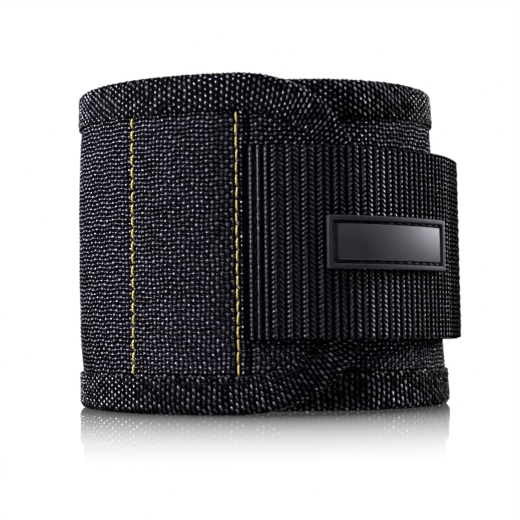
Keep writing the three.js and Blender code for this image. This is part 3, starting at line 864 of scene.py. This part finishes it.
# Where the hook tape is sewn on underneath, and at the hem, the ribs are pressed flatter.
def pressed(s):
    ease = strap["pressedEase"]
    onBar = eased(s, pressStart, pressStart + ease) * (1 - eased(s, pressEnd - ease, pressEnd))
    return np.maximum(onBar, eased(s, strapHem, strapHem + ease))


# Ribs of slanted beads that lean the other way from rib to rib. The first few are straight cords, and those
# on the side stand apart.
def strapFace(s, z):
    rib = np.floor((s - ribStart) / strap["ribPitch"] + hair)
    across = (s - ribStart) / strap["ribPitch"] - rib
    ridge = np.where(rib < 0, 0, np.sin(math.pi * across.clip(0, 1)).clip(0))
    side = 1 - 2 * (rib % 2)
    plain = rib < strap["plainRibs"]
    along = z / strap["beadPitch"] + np.where(plain, 0.5 * (rib % 2), strap["slant"] * side * (across - 0.5))
    bead = np.abs(np.sin(math.pi * along))
    ribPower = 1 + strap["apart"] * eased(s, arcLength(strap["apartFrom"]), arcLength(strap["apartAt"]))
    cordBead, beadFloor, tuck = strap["cordBead"], strap["beadFloor"], strap["edgeTuck"]
    cord = ridge ** strap["cordPower"] * (1 - cordBead + cordBead * bead) + cordBead * bead * (1 - ridge)
    beaded = ridge ** ribPower * (beadFloor + (1 - beadFloor) * bead ** strap["beadPower"])
    relief = np.where(plain, cord, beaded)
    relief = relief * (1 - (1 - strap["pressedRelief"]) * pressed(s))
    least, spread = strap["uneven"]
    uneven = least + spread * cellShare(rib, np.floor(along))
    inset = np.minimum(z - strapLow, strapLow + strap["width"] - z)
    onEdge = 1 - eased(inset, strap["edgeEase"] * strap["selvedge"], strap["selvedge"])
    face = strap["thickness"] + strap["ribHeight"] * relief * uneven
    edgeFace = strap["edgeThickness"] + strap["edgeBead"] * np.abs(np.sin(math.pi * s / strap["beadPitch"]))
    tuckIn = tuck * (1 - eased(np.minimum(inset, strapEnd - s), 0, tuck))
    return face * (1 - onEdge) + edgeFace * onEdge - tuckIn


def strapLook():
    look = webbing
    material, tree, shader = newFinish("elasticWebbing", look["specular"], ior=look["ior"], tint=look["tint"])
    u, v = flatPlace(tree)
    place = calc(tree, "DIVIDE", calc(tree, "SUBTRACT", u, ribStart), strap["ribPitch"])
    rib, across = calc(tree, "FLOOR", place), calc(tree, "FRACT", place)
    side = calc(tree, "MULTIPLY_ADD", calc(tree, "FLOORED_MODULO", rib, 2.0), -2.0, 1.0)
    plain = calc(tree, "LESS_THAN", rib, strap["plainRibs"])
    slant = calc(tree, "MULTIPLY_ADD", plain, -strap["slant"], strap["slant"])
    lean = calc(tree, "MULTIPLY", calc(tree, "MULTIPLY", calc(tree, "SUBTRACT", across, 0.5), side), slant)
    along = calc(tree, "ADD", calc(tree, "DIVIDE", v, strap["beadPitch"]), lean)
    bead = calc(tree, "ABSOLUTE", calc(tree, "SINE", calc(tree, "MULTIPLY", along, math.pi)))
    ridge = sineHump(tree, across)
    share = cellNoise(tree, rib, calc(tree, "FLOOR", along))
    apartFrom, apartAt = arcLength(strap["apartFrom"]), arcLength(strap["apartAt"])
    apart = stretched(tree, u, apartFrom, apartAt, 1, 1 + strap["apart"])
    yarn = calc(tree, "MULTIPLY", bead, calc(tree, "POWER", ridge, apart))
    cord = calc(tree, "MULTIPLY_ADD", bead, strap["cordBead"], 1 - strap["cordBead"])
    cord = calc(tree, "MULTIPLY", cord, calc(tree, "POWER", ridge, strap["cordPower"]))
    yarn = calc(tree, "MULTIPLY_ADD", plain, calc(tree, "SUBTRACT", cord, yarn), yarn)
    # Where the ribs are pressed the yarn share drops, so the hook bar and the hem are painted darker: a
    # painted shade at the strap's end.
    ease = strap["pressedEase"]
    onBar = stretched(tree, u, pressStart, pressStart + ease)
    onBar = calc(tree, "MULTIPLY", onBar, stretched(tree, u, pressEnd - ease, pressEnd, 1, 0))
    onBar = calc(tree, "MAXIMUM", onBar, stretched(tree, u, strapHem, strapHem + ease))
    yarn = calc(tree, "MULTIPLY", yarn, stretched(tree, onBar, 0, 1, 1, strap["pressedShadeShare"]))
    # Before the first rib the yarn share drops, so the root margin is painted darker: a painted shade along
    # the strap's root.
    rootEase = look["rootEase"]
    pastRoot = stretched(tree, u, ribStart - rootEase, ribStart + rootEase, look["rootShadeShare"], 1)
    yarn = calc(tree, "MULTIPLY", yarn, pastRoot)
    # Along the selvedges the yarn share drops, so the edges are painted darker: painted shade on the strap's
    # edges.
    fromFoot = calc(tree, "SUBTRACT", v, strapLow)
    inset = calc(tree, "MINIMUM", fromFoot, calc(tree, "SUBTRACT", strapLow + strap["width"], v))
    yarn = calc(tree, "MULTIPLY", yarn, stretched(tree, inset, 0, strap["selvedge"], look["edgeShadeShare"], 1))
    tone = calc(tree, "MULTIPLY_ADD", share, *look["unevenTone"])
    # Rib crowns are coloured lighter and the gaps near black and metallic black: painted shade between ribs
    # and beads.
    toneBy(tree, shader, calc(tree, "MULTIPLY", yarn, tone, clamp=True), look["dark"], look["light"])
    roughBy(tree, shader, yarn, *look["rough"])
    tree.links.new(stretched(tree, yarn, look["gapShadeFrom"], look["gapShadeReach"], 1, 0), shader.inputs["Metallic"])
    twist = calc(tree, "MULTIPLY", calc(tree, "ADD", along, across), 2 * math.pi * look["twists"])
    relief = calc(tree, "MULTIPLY_ADD", calc(tree, "SINE", twist), look["twistShare"], yarn)
    relief = calc(tree, "MULTIPLY_ADD", noiseOf(tree, look["fuzzScale"]), look["fuzzShare"], relief)
    raised(tree, shader, relief, look["bump"] * mm)
    return material


strapFinish = strapLook()


def strapCorner(s):
    left = np.maximum(strap["cornerRadius"] - (strapEnd - s), 0)
    drawn = strap["cornerRadius"] - np.sqrt(np.maximum(strap["cornerRadius"] ** 2 - left ** 2, 0))
    return np.minimum(drawn, strap["cornerRadius"] - strap["ribHeight"])


strapParts = [
    ("strap_near", strapStart, strapSplit, "tongue", "strap", strapPeel, ["strap_root", "strap_middle"]),
    ("strap_far", strapSplit, strapEnd, "strap", "strap_tip", strapFold, ["strap_middle", "strap_end"]),
]
step = strap["ribPitch"] / strap["samplesAlong"]
fine = alignedPlaces(strapLow, strapLow + strap["width"], strap["beadPitch"] / strap["samplesAcross"])
for name, start, end, before, after, fold, nodes in strapParts:
    places = strapStart + alignedPlaces(start - strapStart, end - strapStart, step)
    drawn = strapCorner(places)
    low, high = strapLow + drawn, strapLow + strap["width"] - drawn
    piece = makePad(name, onStrap, places, fine, low, high, strapFace, flatAt(0))
    dress(piece, strapFinish, "elastic_webbing", *nodes)
    foldStrap(piece, before, after, fold)
print("strap made")

# hook and loop fastening

pile = {
    "step": 0.45, "tuft": 0.12, "tuftAlong": (5.3, 1.7, 3.1), "tuftAcross": (4.7, 1.9, 2.3), "edgeDrop": 0.5,
    "edgeReach": 1.2, "finer": 2.5, "fibreShare": 0.6, "toneRange": (0.3, 0.9), "bump": 0.35,
    "specular": 0.08, "roughSpread": 0.1,
}


def pileLook(name, dark, light, scale, rough):
    material, tree, shader = newFinish(name, pile["specular"])
    fibres = noiseOf(tree, scale * pile["finer"], 3, 0.7)
    fibres = calc(tree, "MULTIPLY_ADD", fibres, pile["fibreShare"], cellsOf(tree, scale))
    share = stretched(tree, fibres, *pile["toneRange"])
    toneBy(tree, shader, share, dark, light)
    roughBy(tree, shader, share, rough + pile["roughSpread"], rough - pile["roughSpread"])
    raised(tree, shader, fibres, pile["bump"] * mm)
    return material


pileFinish = pileLook("loopPile", (0.0004, 0.0004, 0.0005), (0.0075, 0.0073, 0.0085), scale=1500, rough=0.85)
hookFinish = pileLook("hookTape", (0.001, 0.001, 0.0012), (0.012, 0.012, 0.013), scale=2200, rough=0.5)


def pileFace(s, z):
    tuft = bentWave(s, z, *pile["tuftAlong"]) * bentWave(z, s, *pile["tuftAcross"])
    edge = np.minimum(z - loopLow, loopLow + fastening["loopWidth"] - z)
    angle = np.maximum(s, sideEnd) / radius
    room = (strap["lean"] - band["lean"]) * (0.5 - z / height) + strap["stand"]
    room = room * eased(radius * np.sin(angle), 0, radius) * np.maximum(np.sin(angle), 0)
    fallen = pile["edgeDrop"] * (1 - eased(edge, 0, pile["edgeReach"]))
    return fit + fastening["loopThickness"] + room - pile["tuft"] + pile["tuft"] * tuft - fallen


loopLow = strapMiddle - fastening["loopWidth"] / 2
tuckedStart = sideEnd - math.radians(fastening["loopTuck"]) * tuckRadius
places = alignedPlaces(tuckedStart, arcLength(fastening["loopStart"]), pile["step"])
rows = alignedPlaces(loopLow, loopLow + fastening["loopWidth"], pile["step"])
piece = makePad("loop_pile", onBand, places, rows, rows[0], rows[-1], pileFace, flatAt(fit))
dress(piece, pileFinish, "loop_pile", "loop_patch")
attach(piece, "back")


# Places for copies: the point, and the directions along, across and out, in metres for a millimetre.
def framesAt(place, s, z, h, turn=0):
    e = 0.05
    point = place(s, z, h)
    along = (place(s + e, z, h) - place(s - e, z, h)) / (2 * e)
    across = (place(s, z + e, h) - place(s, z - e, h)) / (2 * e)
    out = (place(s, z, h + e) - place(s, z, h - e)) / (2 * e)
    along = along / np.linalg.norm(along, axis=-1, keepdims=True) * mm
    turn = np.asarray(turn)[..., None]
    c, k = np.cos(turn), np.sin(turn)
    return point, along * c + across * k, across * c - along * k, out


def makeCopies(name, shape, faces, frames):
    point, along, across, out = (part.reshape(-1, 1, 3) for part in frames)
    points = point + shape[None, :, 0:1] * along + shape[None, :, 1:2] * across + shape[None, :, 2:3] * out
    count = len(shape)
    flat = np.tile(shape[:, :2], (len(point), 1))
    every = [[corner + i * count for corner in face] for i in range(len(point)) for face in faces]
    return meshObject(name, points.reshape(-1, 3), every, flat, sharpAngles["copies"])


hook = {
    "stem": 0.17, "sides": 5, "taper": 0.88, "sink": 0.05, "baseSteps": (0.9, 2.3),
    "rises": [(0.0, 0.3, 0), (0.05, 0.16, 40), (0.14, 0.1, 55), (0.16, -0.05, 45)],
}


# One hook: a stem that is extruded up and turned over, modelled in millimetres.
def hookShape():
    bpy.ops.object.select_all(action="DESELECT")
    bpy.ops.mesh.primitive_circle_add(vertices=hook["sides"], radius=hook["stem"], fill_type="NGON")
    made = bpy.context.object
    bpy.ops.object.mode_set(mode="EDIT")
    bpy.ops.mesh.select_all(action="SELECT")
    x = z = 0
    for dx, dz, turn in hook["rises"]:
        bpy.ops.mesh.extrude_region_move(TRANSFORM_OT_translate={"value": (dx, 0, dz)})
        x, z = x + dx, z + dz
        bpy.ops.transform.resize(value=(hook["taper"],) * 3, center_override=(x, 0, z))
        if turn:
            bpy.ops.transform.rotate(value=-math.radians(turn), orient_axis="Y", center_override=(x, 0, z))
    bpy.ops.mesh.select_all(action="SELECT")
    bpy.ops.mesh.normals_make_consistent(inside=False)
    bpy.ops.object.mode_set(mode="OBJECT")
    shape = np.array([v.co for v in made.data.vertices])
    faces = [list(p.vertices) for p in made.data.polygons]
    bpy.data.objects.remove(made)
    return shape, faces


hookLow = strapMiddle - fastening["hookWidth"] / 2
hookEnd = strapEnd - strap["cornerRadius"]
stepAlong, stepAcross = hook["baseSteps"]
places = alignedPlaces(arcLength(fastening["hookStart"]), hookEnd, stepAlong)
rows = alignedPlaces(hookLow, hookLow + fastening["hookWidth"], stepAcross)
hookFloor = -fit - fastening["hookBase"]
base = makePad("hook_base", onStrap, places, rows, rows[0], rows[-1], flatAt(hookFloor), flatAt(-fit))

shape, faces = hookShape()
pitch = fastening["hookPitch"]
gridS, gridZ = np.meshgrid(
    np.arange(places[0] + pitch, hookEnd - pitch / 2, pitch),
    np.arange(hookLow + pitch, hookLow + fastening["hookWidth"] - pitch / 2, pitch), indexing="ij")
point, along, across, out = framesAt(onStrap, gridS, gridZ, hookFloor + hook["sink"])
flip = (1 - 2 * (np.arange(gridS.shape[1]) % 2))[None, :, None]
hooks = makeCopies("hook_rows", shape, faces, (point, along * flip, -across * flip, -out))
for piece in (base, hooks):
    dress(piece, hookFinish, "hook_tape", "strap_middle_hooks", "strap_end_hooks")
    foldStrap(piece, "strap", "strap_tip", strapFold)
print("fastening made")

# sewing threads

goldStitch = {
    "pitch": 3.3, "length": 2.9, "radius": 0.25, "arch": 0.16, "dip": 0.45, "plies": 3, "twist": 1.6,
    "sides": 12, "rings": 16, "tilt": 4, "sway": 0.1, "rise": 0.12,
}
blackStitch = {
    "pitch": 2.7, "length": 2.15, "radius": 0.17, "arch": 0.12, "dip": 0.2, "plies": 2, "twist": 1.4,
    "sides": 6, "rings": 6, "tilt": 3, "inset": 8.2, "sunk": 0.06, "rise": 0.12,
}
stitchForm = {"dipPower": 4, "taper": 0.72, "taperPower": 6, "plyRelief": 0.13}


# One stitch lying along y: plied thread that rises out of one needle hole and goes down in the next.
def stitchShape(look):
    rings, sides = look["rings"], look["sides"]
    t = np.linspace(-1, 1, rings)
    y = t * look["length"] / 2
    arch = look["arch"] * np.cos(t * quarterTurn) - look["dip"] * np.abs(t) ** stitchForm["dipPower"]
    girth = look["radius"] * np.sqrt(1 - stitchForm["taper"] * np.abs(t) ** stitchForm["taperPower"])
    angle = np.linspace(0, 2 * math.pi, sides, endpoint=False)
    twisted = angle[None, :] - look["twist"] * math.pi * t[:, None]
    ply = 1 + stitchForm["plyRelief"] * np.abs(np.cos(twisted * look["plies"] / 2))
    x = girth[:, None] * ply * np.cos(angle)[None, :]
    z = arch[:, None] + girth[:, None] * ply * np.sin(angle)[None, :]
    shape = np.stack([x, np.broadcast_to(y[:, None], x.shape), z], -1).reshape(-1, 3)
    faces = [list(range(sides)), list(range((rings - 1) * sides, rings * sides))[::-1]]
    for i in range(rings - 1):
        for j in range(sides):
            k = (j + 1) % sides
            faces.append([i * sides + j, (i + 1) * sides + j, (i + 1) * sides + k, i * sides + k])
    return shape, faces


thread = {
    "lay": 1.4, "fibreScale": 3000, "fibreTone": (0.8, 0.5), "fibreShare": 0.3, "bump": 0.1,
    "roughInGrooves": 0.15, "smoothOnPlies": 0.05,
}


def threadLook(name, dark, light, pitch, rough, specular):
    material, tree, shader = newFinish(name, specular)
    u, v = flatPlace(tree)
    ply = calc(tree, "MULTIPLY", calc(tree, "MULTIPLY_ADD", u, thread["lay"], v), pitch)
    ply = calc(tree, "MULTIPLY_ADD", calc(tree, "SINE", ply), 0.5, 0.5)
    fibres = noiseOf(tree, thread["fibreScale"])
    tone = calc(tree, "MULTIPLY_ADD", fibres, *thread["fibreTone"])
    # The colour darkens in the grooves between the plies, a painted shade, and varies at random with the
    # fibres.
    tone = calc(tree, "MULTIPLY", ply, tone, clamp=True)
    toneBy(tree, shader, tone, dark, light)
    roughBy(tree, shader, tone, rough + thread["roughInGrooves"], rough - thread["smoothOnPlies"])
    raised(tree, shader, calc(tree, "MULTIPLY_ADD", fibres, thread["fibreShare"], ply), thread["bump"] * mm)
    return material


goldFinish = threadLook("goldThread", (0.08, 0.05, 0.002), (0.56, 0.46, 0.05),
                        pitch=7, rough=0.4, specular=0.8)
blackFinish = threadLook("blackThread", (0.001, 0.001, 0.001), (0.004, 0.004, 0.0045),
                         pitch=9, rough=0.8, specular=0.04)
labelThread = threadLook("labelThread", (0.002, 0.002, 0.002), (0.012, 0.012, 0.013),
                         pitch=9, rough=0.45, specular=0.4)


# Small differences between the stitches of a row.
def scattered(count, most, seed, start=0):
    return most * (2 * cellShare(np.arange(count) + start, seed) - 1)


goldShape = stitchShape(goldStitch)
seamThreads = [
    ("seam_stitches_back", backSeam, "back_seam_thread_1", None),
    ("seam_stitches_side", sideSeam, "back_seam_thread_2", None),
    ("seam_stitches_front", frontSeam, "pocket_seam_thread", ("back", "pocket")),
    ("seam_stitches_tongue", tongueSeam, "tongue_seam_thread", ("pocket", "tongue")),
]
room = height - 2 * width
count = round(room / goldStitch["pitch"])
z = width + (np.arange(count) + 0.5) * room / count
for seed, (name, seam, node, pair) in enumerate(seamThreads):
    tilt = scattered(count, np.radians(goldStitch["tilt"]), seed)
    sway = scattered(count, goldStitch["sway"], seed, 0.5)
    frames = framesAt(onBand, seam + sway, z, goldStitch["rise"] - panel["seamGroove"] / 2, tilt)
    piece = makeCopies(name, *goldShape, frames)
    dress(piece, goldFinish, "seam_thread", node)
    if pair:
        foldAt(piece, *pair, seam)
    else:
        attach(piece, "back")

blackShape = stitchShape(blackStitch)


def sewRow(name, place, s, z, h, way, seed, inside=False, finish=blackFinish):
    tilt = scattered(len(s), np.radians(blackStitch["tilt"]), seed)
    point, along, across, out = framesAt(place, s, z, h, way - quarterTurn + tilt)
    if inside:
        along, out = -along, -out
    piece = makeCopies(name, *blackShape, (point, along, across, out))
    piece.data.materials.append(finish)
    return piece


# Places and directions of the stitches along straight runs from corner to corner.
def sewnPath(corners):
    along, across, way = [], [], []
    for (s0, z0), (s1, z1) in zip(corners, corners[1:]):
        count = round(math.hypot(s1 - s0, z1 - z0) / blackStitch["pitch"])
        share = (np.arange(count) + 0.5) / count
        along.append(s0 + (s1 - s0) * share)
        across.append(z0 + (z1 - z0) * share)
        way.append(np.full(count, math.atan2(z1 - z0, s1 - s0)))
    return np.concatenate(along), np.concatenate(across), np.concatenate(way)


def sewnBox(left, right, foot, head):
    return sewnPath([(left, foot), (right, foot), (right, head), (left, head), (left, foot)])


outerHeight, innerHeight = tapeTop - blackStitch["sunk"], tapeFoot + blackStitch["sunk"]
for seed, (tapeName, start, end, nodes) in enumerate(tapeParts):
    count = round((end - start) / blackStitch["pitch"])
    along = start + (np.arange(count) + 0.5) * (end - start) / count
    s, z, inS, inZ = edgePlace(along)
    s, z = s + inS * blackStitch["inset"], z + inZ * blackStitch["inset"]
    way = np.arctan2(-inS, inZ)
    for side, h, inside in (("outer", outerHeight, False), ("inner", innerHeight, True)):
        piece = sewRow(tapeName.replace("tape", side + "_stitches"), onBand, s, z, h, way, seed, inside)
        tieToBodies(piece, tapeName)
print("threads made")

# label: a raised rim, a sunk groove for its stitches, and a bare plate

label = {
    "start": 15.8, "length": 35.8, "height": 13.5, "thickness": 1.5, "rim": 1.15, "groove": 1.0,
    "grooveDepth": 1.0, "plateDrop": 0.3, "bevel": 0.2, "steps": 12, "footBand": 0.15, "stitchRise": 0.06,
    "bevelPast": 40, "smoothUpTo": 35,
}
rubber = {
    "grainScale": 5200, "wearScale": 130, "wearRange": (0.35, 0.7), "grainRough": 0.14, "wearRough": 0.06,
    "bump": 0.035, "dark": (0.011, 0.011, 0.0125), "light": (0.018, 0.018, 0.02),
}
labelFoot = strap["thickness"] + strap["ribHeight"] + fit


def modelLabel():
    bpy.ops.object.select_all(action="DESELECT")
    bpy.ops.mesh.primitive_grid_add(x_subdivisions=label["steps"], y_subdivisions=1, size=1)
    made = bpy.context.object
    made.name = "label_plate"
    bpy.ops.object.mode_set(mode="EDIT")
    bpy.ops.mesh.select_all(action="SELECT")
    bpy.ops.transform.resize(value=(label["length"], label["height"], 1), center_override=(0, 0, 0))
    bpy.ops.mesh.select_mode(type="FACE")
    bpy.ops.mesh.extrude_region_move(TRANSFORM_OT_translate={"value": (0, 0, label["thickness"])})
    bpy.ops.mesh.inset(thickness=label["rim"], use_even_offset=True)
    bpy.ops.mesh.extrude_region_move(TRANSFORM_OT_translate={"value": (0, 0, -label["grooveDepth"])})
    bpy.ops.mesh.inset(thickness=label["groove"], use_even_offset=True)
    rise = label["grooveDepth"] - label["plateDrop"]
    bpy.ops.mesh.extrude_region_move(TRANSFORM_OT_translate={"value": (0, 0, rise)})
    bpy.ops.mesh.select_all(action="SELECT")
    bpy.ops.mesh.normals_make_consistent(inside=False)
    bpy.ops.object.mode_set(mode="OBJECT")
    softened = made.modifiers.new("softened", "BEVEL")
    softened.width = label["bevel"]
    softened.segments = 3
    softened.limit_method = "ANGLE"
    softened.angle_limit = math.radians(label["bevelPast"])
    bpy.ops.object.modifier_apply(modifier=softened.name)
    bpy.ops.object.shade_smooth_by_angle(angle=math.radians(label["smoothUpTo"]))
    return made


piece = modelLabel()
flatPoints = np.array([v.co for v in piece.data.vertices])
wrapped = onStrap(label["start"] + label["length"] / 2 + flatPoints[:, 0], strapMiddle + flatPoints[:, 1],
                  labelFoot + flatPoints[:, 2])
piece.data.vertices.foreach_set("co", wrapped.astype(np.float32).ravel())
piece.data.update()


def rubberLook(name, specular, gloss, shade):
    material, tree, shader = newFinish(name, specular)
    grain = noiseOf(tree, rubber["grainScale"], 3, 0.6)
    wear = stretched(tree, noiseOf(tree, rubber["wearScale"], 4, 0.6), *rubber["wearRange"])
    dark, light = ([shade * part for part in rubber[tone]] for tone in ("dark", "light"))
    toneBy(tree, shader, wear, dark, light)
    rough = calc(tree, "MULTIPLY_ADD", grain, rubber["grainRough"], 1 - gloss)
    tree.links.new(calc(tree, "MULTIPLY_ADD", wear, rubber["wearRough"], rough), shader.inputs["Roughness"])
    raised(tree, shader, grain, rubber["bump"] * mm)
    return material


plateFinish = rubberLook("labelRubber", specular=0.25, gloss=0.6, shade=1)
dress(piece, plateFinish, "label_rubber", "label_patch")
# The groove is given almost no gloss, a painted shade that keeps the recess dark, and the rim is duller than
# the plate.
piece.data.materials.append(rubberLook("labelGrooveShade", specular=0.02, gloss=0.15, shade=1))
piece.data.materials.append(rubberLook("labelRim", specular=0.12, gloss=0.5, shade=0.72))
grooveTop = label["thickness"] - label["grooveDepth"] + label["bevel"]
rimFoot = label["thickness"] - label["plateDrop"] / 2
for face in piece.data.polygons:
    high = flatPoints[list(face.vertices), 2].mean()
    if label["footBand"] < high < grooveTop:
        face.material_index = 1
    elif high > rimFoot:
        face.material_index = 2
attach(piece, "strap")

grooveInset = label["rim"] + label["groove"] / 2
grooveHeight = labelFoot + label["thickness"] - label["grooveDepth"] + label["stitchRise"]
left, right = label["start"] + grooveInset, label["start"] + label["length"] - grooveInset
foot, head = strapMiddle - label["height"] / 2 + grooveInset, strapMiddle + label["height"] / 2 - grooveInset
s, z, way = sewnBox(left, right, foot, head)
piece = sewRow("label_stitches", onStrap, s, z, grooveHeight, way, 11, finish=labelThread)
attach(piece, "strap")

# The box of stitches that holds the strap on the tongue.
box = {"inset": 2.4, "ribs": (1, 4)}
boxLeft, boxRight = (ribStart + rib * strap["ribPitch"] for rib in box["ribs"])
boxFoot, boxHead = strapLow + box["inset"], strapLow + strap["width"] - box["inset"]
onRibs = strap["thickness"] + blackStitch["rise"]
s, z, way = sewnBox(boxLeft, boxRight, boxFoot, boxHead)
piece = sewRow("strap_box_stitches", onStrap, s, z, onRibs, way, 12)
foldStrap(piece, "tongue", "strap", strapPeel)

# The rows that hold the hook tape under the strap.
for seed, (name, seam) in enumerate([("near", pressStart), ("far", pressEnd)]):
    s, z, way = sewnPath([(seam, boxFoot), (seam, boxHead)])
    piece = sewRow(name + "_hook_stitches", onStrap, s, z, onRibs, way, 13 + seed)
    foldStrap(piece, "strap", "strap_tip", strapFold)
print("label made")

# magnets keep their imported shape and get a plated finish

plating = {
    "cloudScale": 400, "scratchScale": 4000, "dark": (0.45, 0.46, 0.48), "light": (0.62, 0.63, 0.65),
    "rough": (0.18, 0.4), "bump": 0.01,
}


def nickelLook():
    material, tree, shader = newFinish("magnetNickel", metallic=1.0)
    scratches = noiseOf(tree, plating["scratchScale"])
    toneBy(tree, shader, noiseOf(tree, plating["cloudScale"], 3), plating["dark"], plating["light"])
    roughBy(tree, shader, scratches, *plating["rough"])
    raised(tree, shader, scratches, plating["bump"] * mm)
    return material


nickel = nickelLook()
for name, node in frame["nodes"].items():
    if "magnet" in name:
        node.data.materials.clear()
        node.data.materials.append(nickel)
print("magnets finished")

# studio

studio = {
    "distance": 450.5, "eyeHeight": 27, "tiltUp": 1.81, "roll": -0.61, "lens": 108.7, "sensor": 36,
    "floorSide": 6, "backdrop": 1.0, "fill": 0.04,
    "mirrorFrom": 0.05, "mirrorReach": 0.18, "mirrorFade": 1.6, "mirrorShare": 0.95, "mirrorSlant": 0.6,
    "floorIor": 1.5, "clipFrom": 0.01, "clipTo": 20,
}
cameraData = bpy.data.cameras.new("studioCamera")
cameraData.lens = studio["lens"]
cameraData.sensor_width = studio["sensor"]
cameraData.clip_start = studio["clipFrom"]
cameraData.clip_end = studio["clipTo"]
camera = bpy.data.objects.new("studioCamera", cameraData)
bpy.context.scene.collection.objects.link(camera)
camera.location = (loopX * mm, (loopY - studio["distance"]) * mm, studio["eyeHeight"] * mm)
tilted = Matrix.Rotation(math.radians(90 + studio["tiltUp"]), 3, "X")
camera.rotation_euler = (tilted @ Matrix.Rotation(math.radians(studio["roll"]), 3, "Z")).to_euler()
bpy.context.scene.camera = camera
bpy.context.scene.view_settings.view_transform = "Standard"


def mixShaders(tree, share, first, second, output):
    node = tree.nodes.new("ShaderNodeMixShader")
    tree.links.new(share, node.inputs[0])
    tree.links.new(first.outputs[0], node.inputs[1])
    tree.links.new(second.outputs[0], node.inputs[2])
    tree.links.new(node.outputs[0], tree.nodes[output].inputs["Surface"])


# The backdrop is white to the camera and in the floor's sharp mirror, and throws little light on the band.
world = bpy.data.worlds.new("studioWorld")
world.use_nodes = True
tree = world.node_tree
seen = tree.nodes["Background"]
seen.inputs["Color"].default_value = (1, 1, 1, 1)
seen.inputs["Strength"].default_value = studio["backdrop"]
thrown = tree.nodes.new("ShaderNodeBackground")
thrown.inputs["Color"].default_value = (1, 1, 1, 1)
thrown.inputs["Strength"].default_value = studio["fill"]
path = tree.nodes.new("ShaderNodeLightPath")
looked = calc(tree, "MAXIMUM", path.outputs["Is Camera Ray"], path.outputs["Is Singular Ray"])
mixShaders(tree, looked, thrown, seen, "World Output")
bpy.context.scene.world = world

bpy.ops.object.select_all(action="DESELECT")
bpy.ops.mesh.primitive_plane_add(size=studio["floorSide"], location=(0, 0, 0))
floor = bpy.context.object
floor.name = "studioFloor"
floor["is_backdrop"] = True
floor.visible_diffuse = False
floor.visible_glossy = False
floor.visible_shadow = False
# The floor glows white, and mirrors the band where it is near and is looked at from low down.
material = bpy.data.materials.new("studioFloor")
material.use_nodes = True
tree = material.node_tree
tree.nodes.remove(tree.nodes["Principled BSDF"])
glow = tree.nodes.new("ShaderNodeEmission")
glow.inputs["Strength"].default_value = studio["backdrop"]
mirror = tree.nodes.new("ShaderNodeBsdfGlossy")
mirror.inputs["Roughness"].default_value = 0
mirror.inputs["Color"].default_value = (1, 1, 1, 1)
fromMiddle = tree.nodes.new("ShaderNodeVectorMath")
fromMiddle.operation = "LENGTH"
tree.links.new(tree.nodes.new("ShaderNodeTexCoord").outputs["Object"], fromMiddle.inputs[0])
near = stretched(tree, fromMiddle.outputs["Value"], studio["mirrorFrom"], studio["mirrorReach"], 1, 0)
near = calc(tree, "MULTIPLY", calc(tree, "POWER", near, studio["mirrorFade"]), studio["mirrorShare"])
gloss = tree.nodes.new("ShaderNodeFresnel")
gloss.inputs["IOR"].default_value = studio["floorIor"]
near = calc(tree, "MULTIPLY", near, stretched(tree, gloss.outputs[0], 0, studio["mirrorSlant"]))
mixShaders(tree, near, glow, mirror, "Material Output")
floor.data.materials.append(material)

coolLight, midLight, paleLight = (1, 0.965, 1.16), (1, 0.97, 1.12), (1, 0.975, 1.08)
# azimuth from the camera's side towards +X, elevation, distance, width, height, power, colour
softBoxes = {
    "right": (110, 16, 0.6, 0.08, 0.2, 5.6, paleLight),
    "left": (-62, 20, 0.6, 0.08, 0.26, 11, coolLight),
    "sideLeft": (-104, 18, 0.6, 0.08, 0.26, 5.5, coolLight),
    "front": (36, 32, 0.7, 0.1, 0.1, 1.2, coolLight),
    "top": (0, 62, 0.7, 0.1, 0.1, 3, coolLight),
    "bounce": (-10, -58, 0.6, 0.1, 0.1, 1.5, coolLight),
    "topRight": (85, 50, 0.6, 0.1, 0.1, 2.4, midLight),
    "bounceRight": (80, -44, 0.6, 0.1, 0.1, 2, midLight),
    "back": (180, 40, 0.6, 0.3, 0.3, 3, paleLight),
}
aim = Vector((0, 0, height * mm / 2))
for name, (azimuth, elevation, distance, wide, tall, power, tone) in softBoxes.items():
    a, e = math.radians(azimuth), math.radians(elevation)
    light = bpy.data.lights.new(name + "SoftBox", "AREA")
    light.shape = "RECTANGLE"
    light.size, light.size_y, light.energy, light.color = wide, tall, power, tone
    lamp = bpy.data.objects.new(name + "SoftBox", light)
    bpy.context.scene.collection.objects.link(lamp)
    toLamp = Vector((math.sin(a) * math.cos(e), -math.cos(a) * math.cos(e), math.sin(e)))
    lamp.location = aim + toLamp * distance
    lamp.rotation_euler = toLamp.to_track_quat("Z", "Y").to_euler()
print("studio set")

low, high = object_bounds()
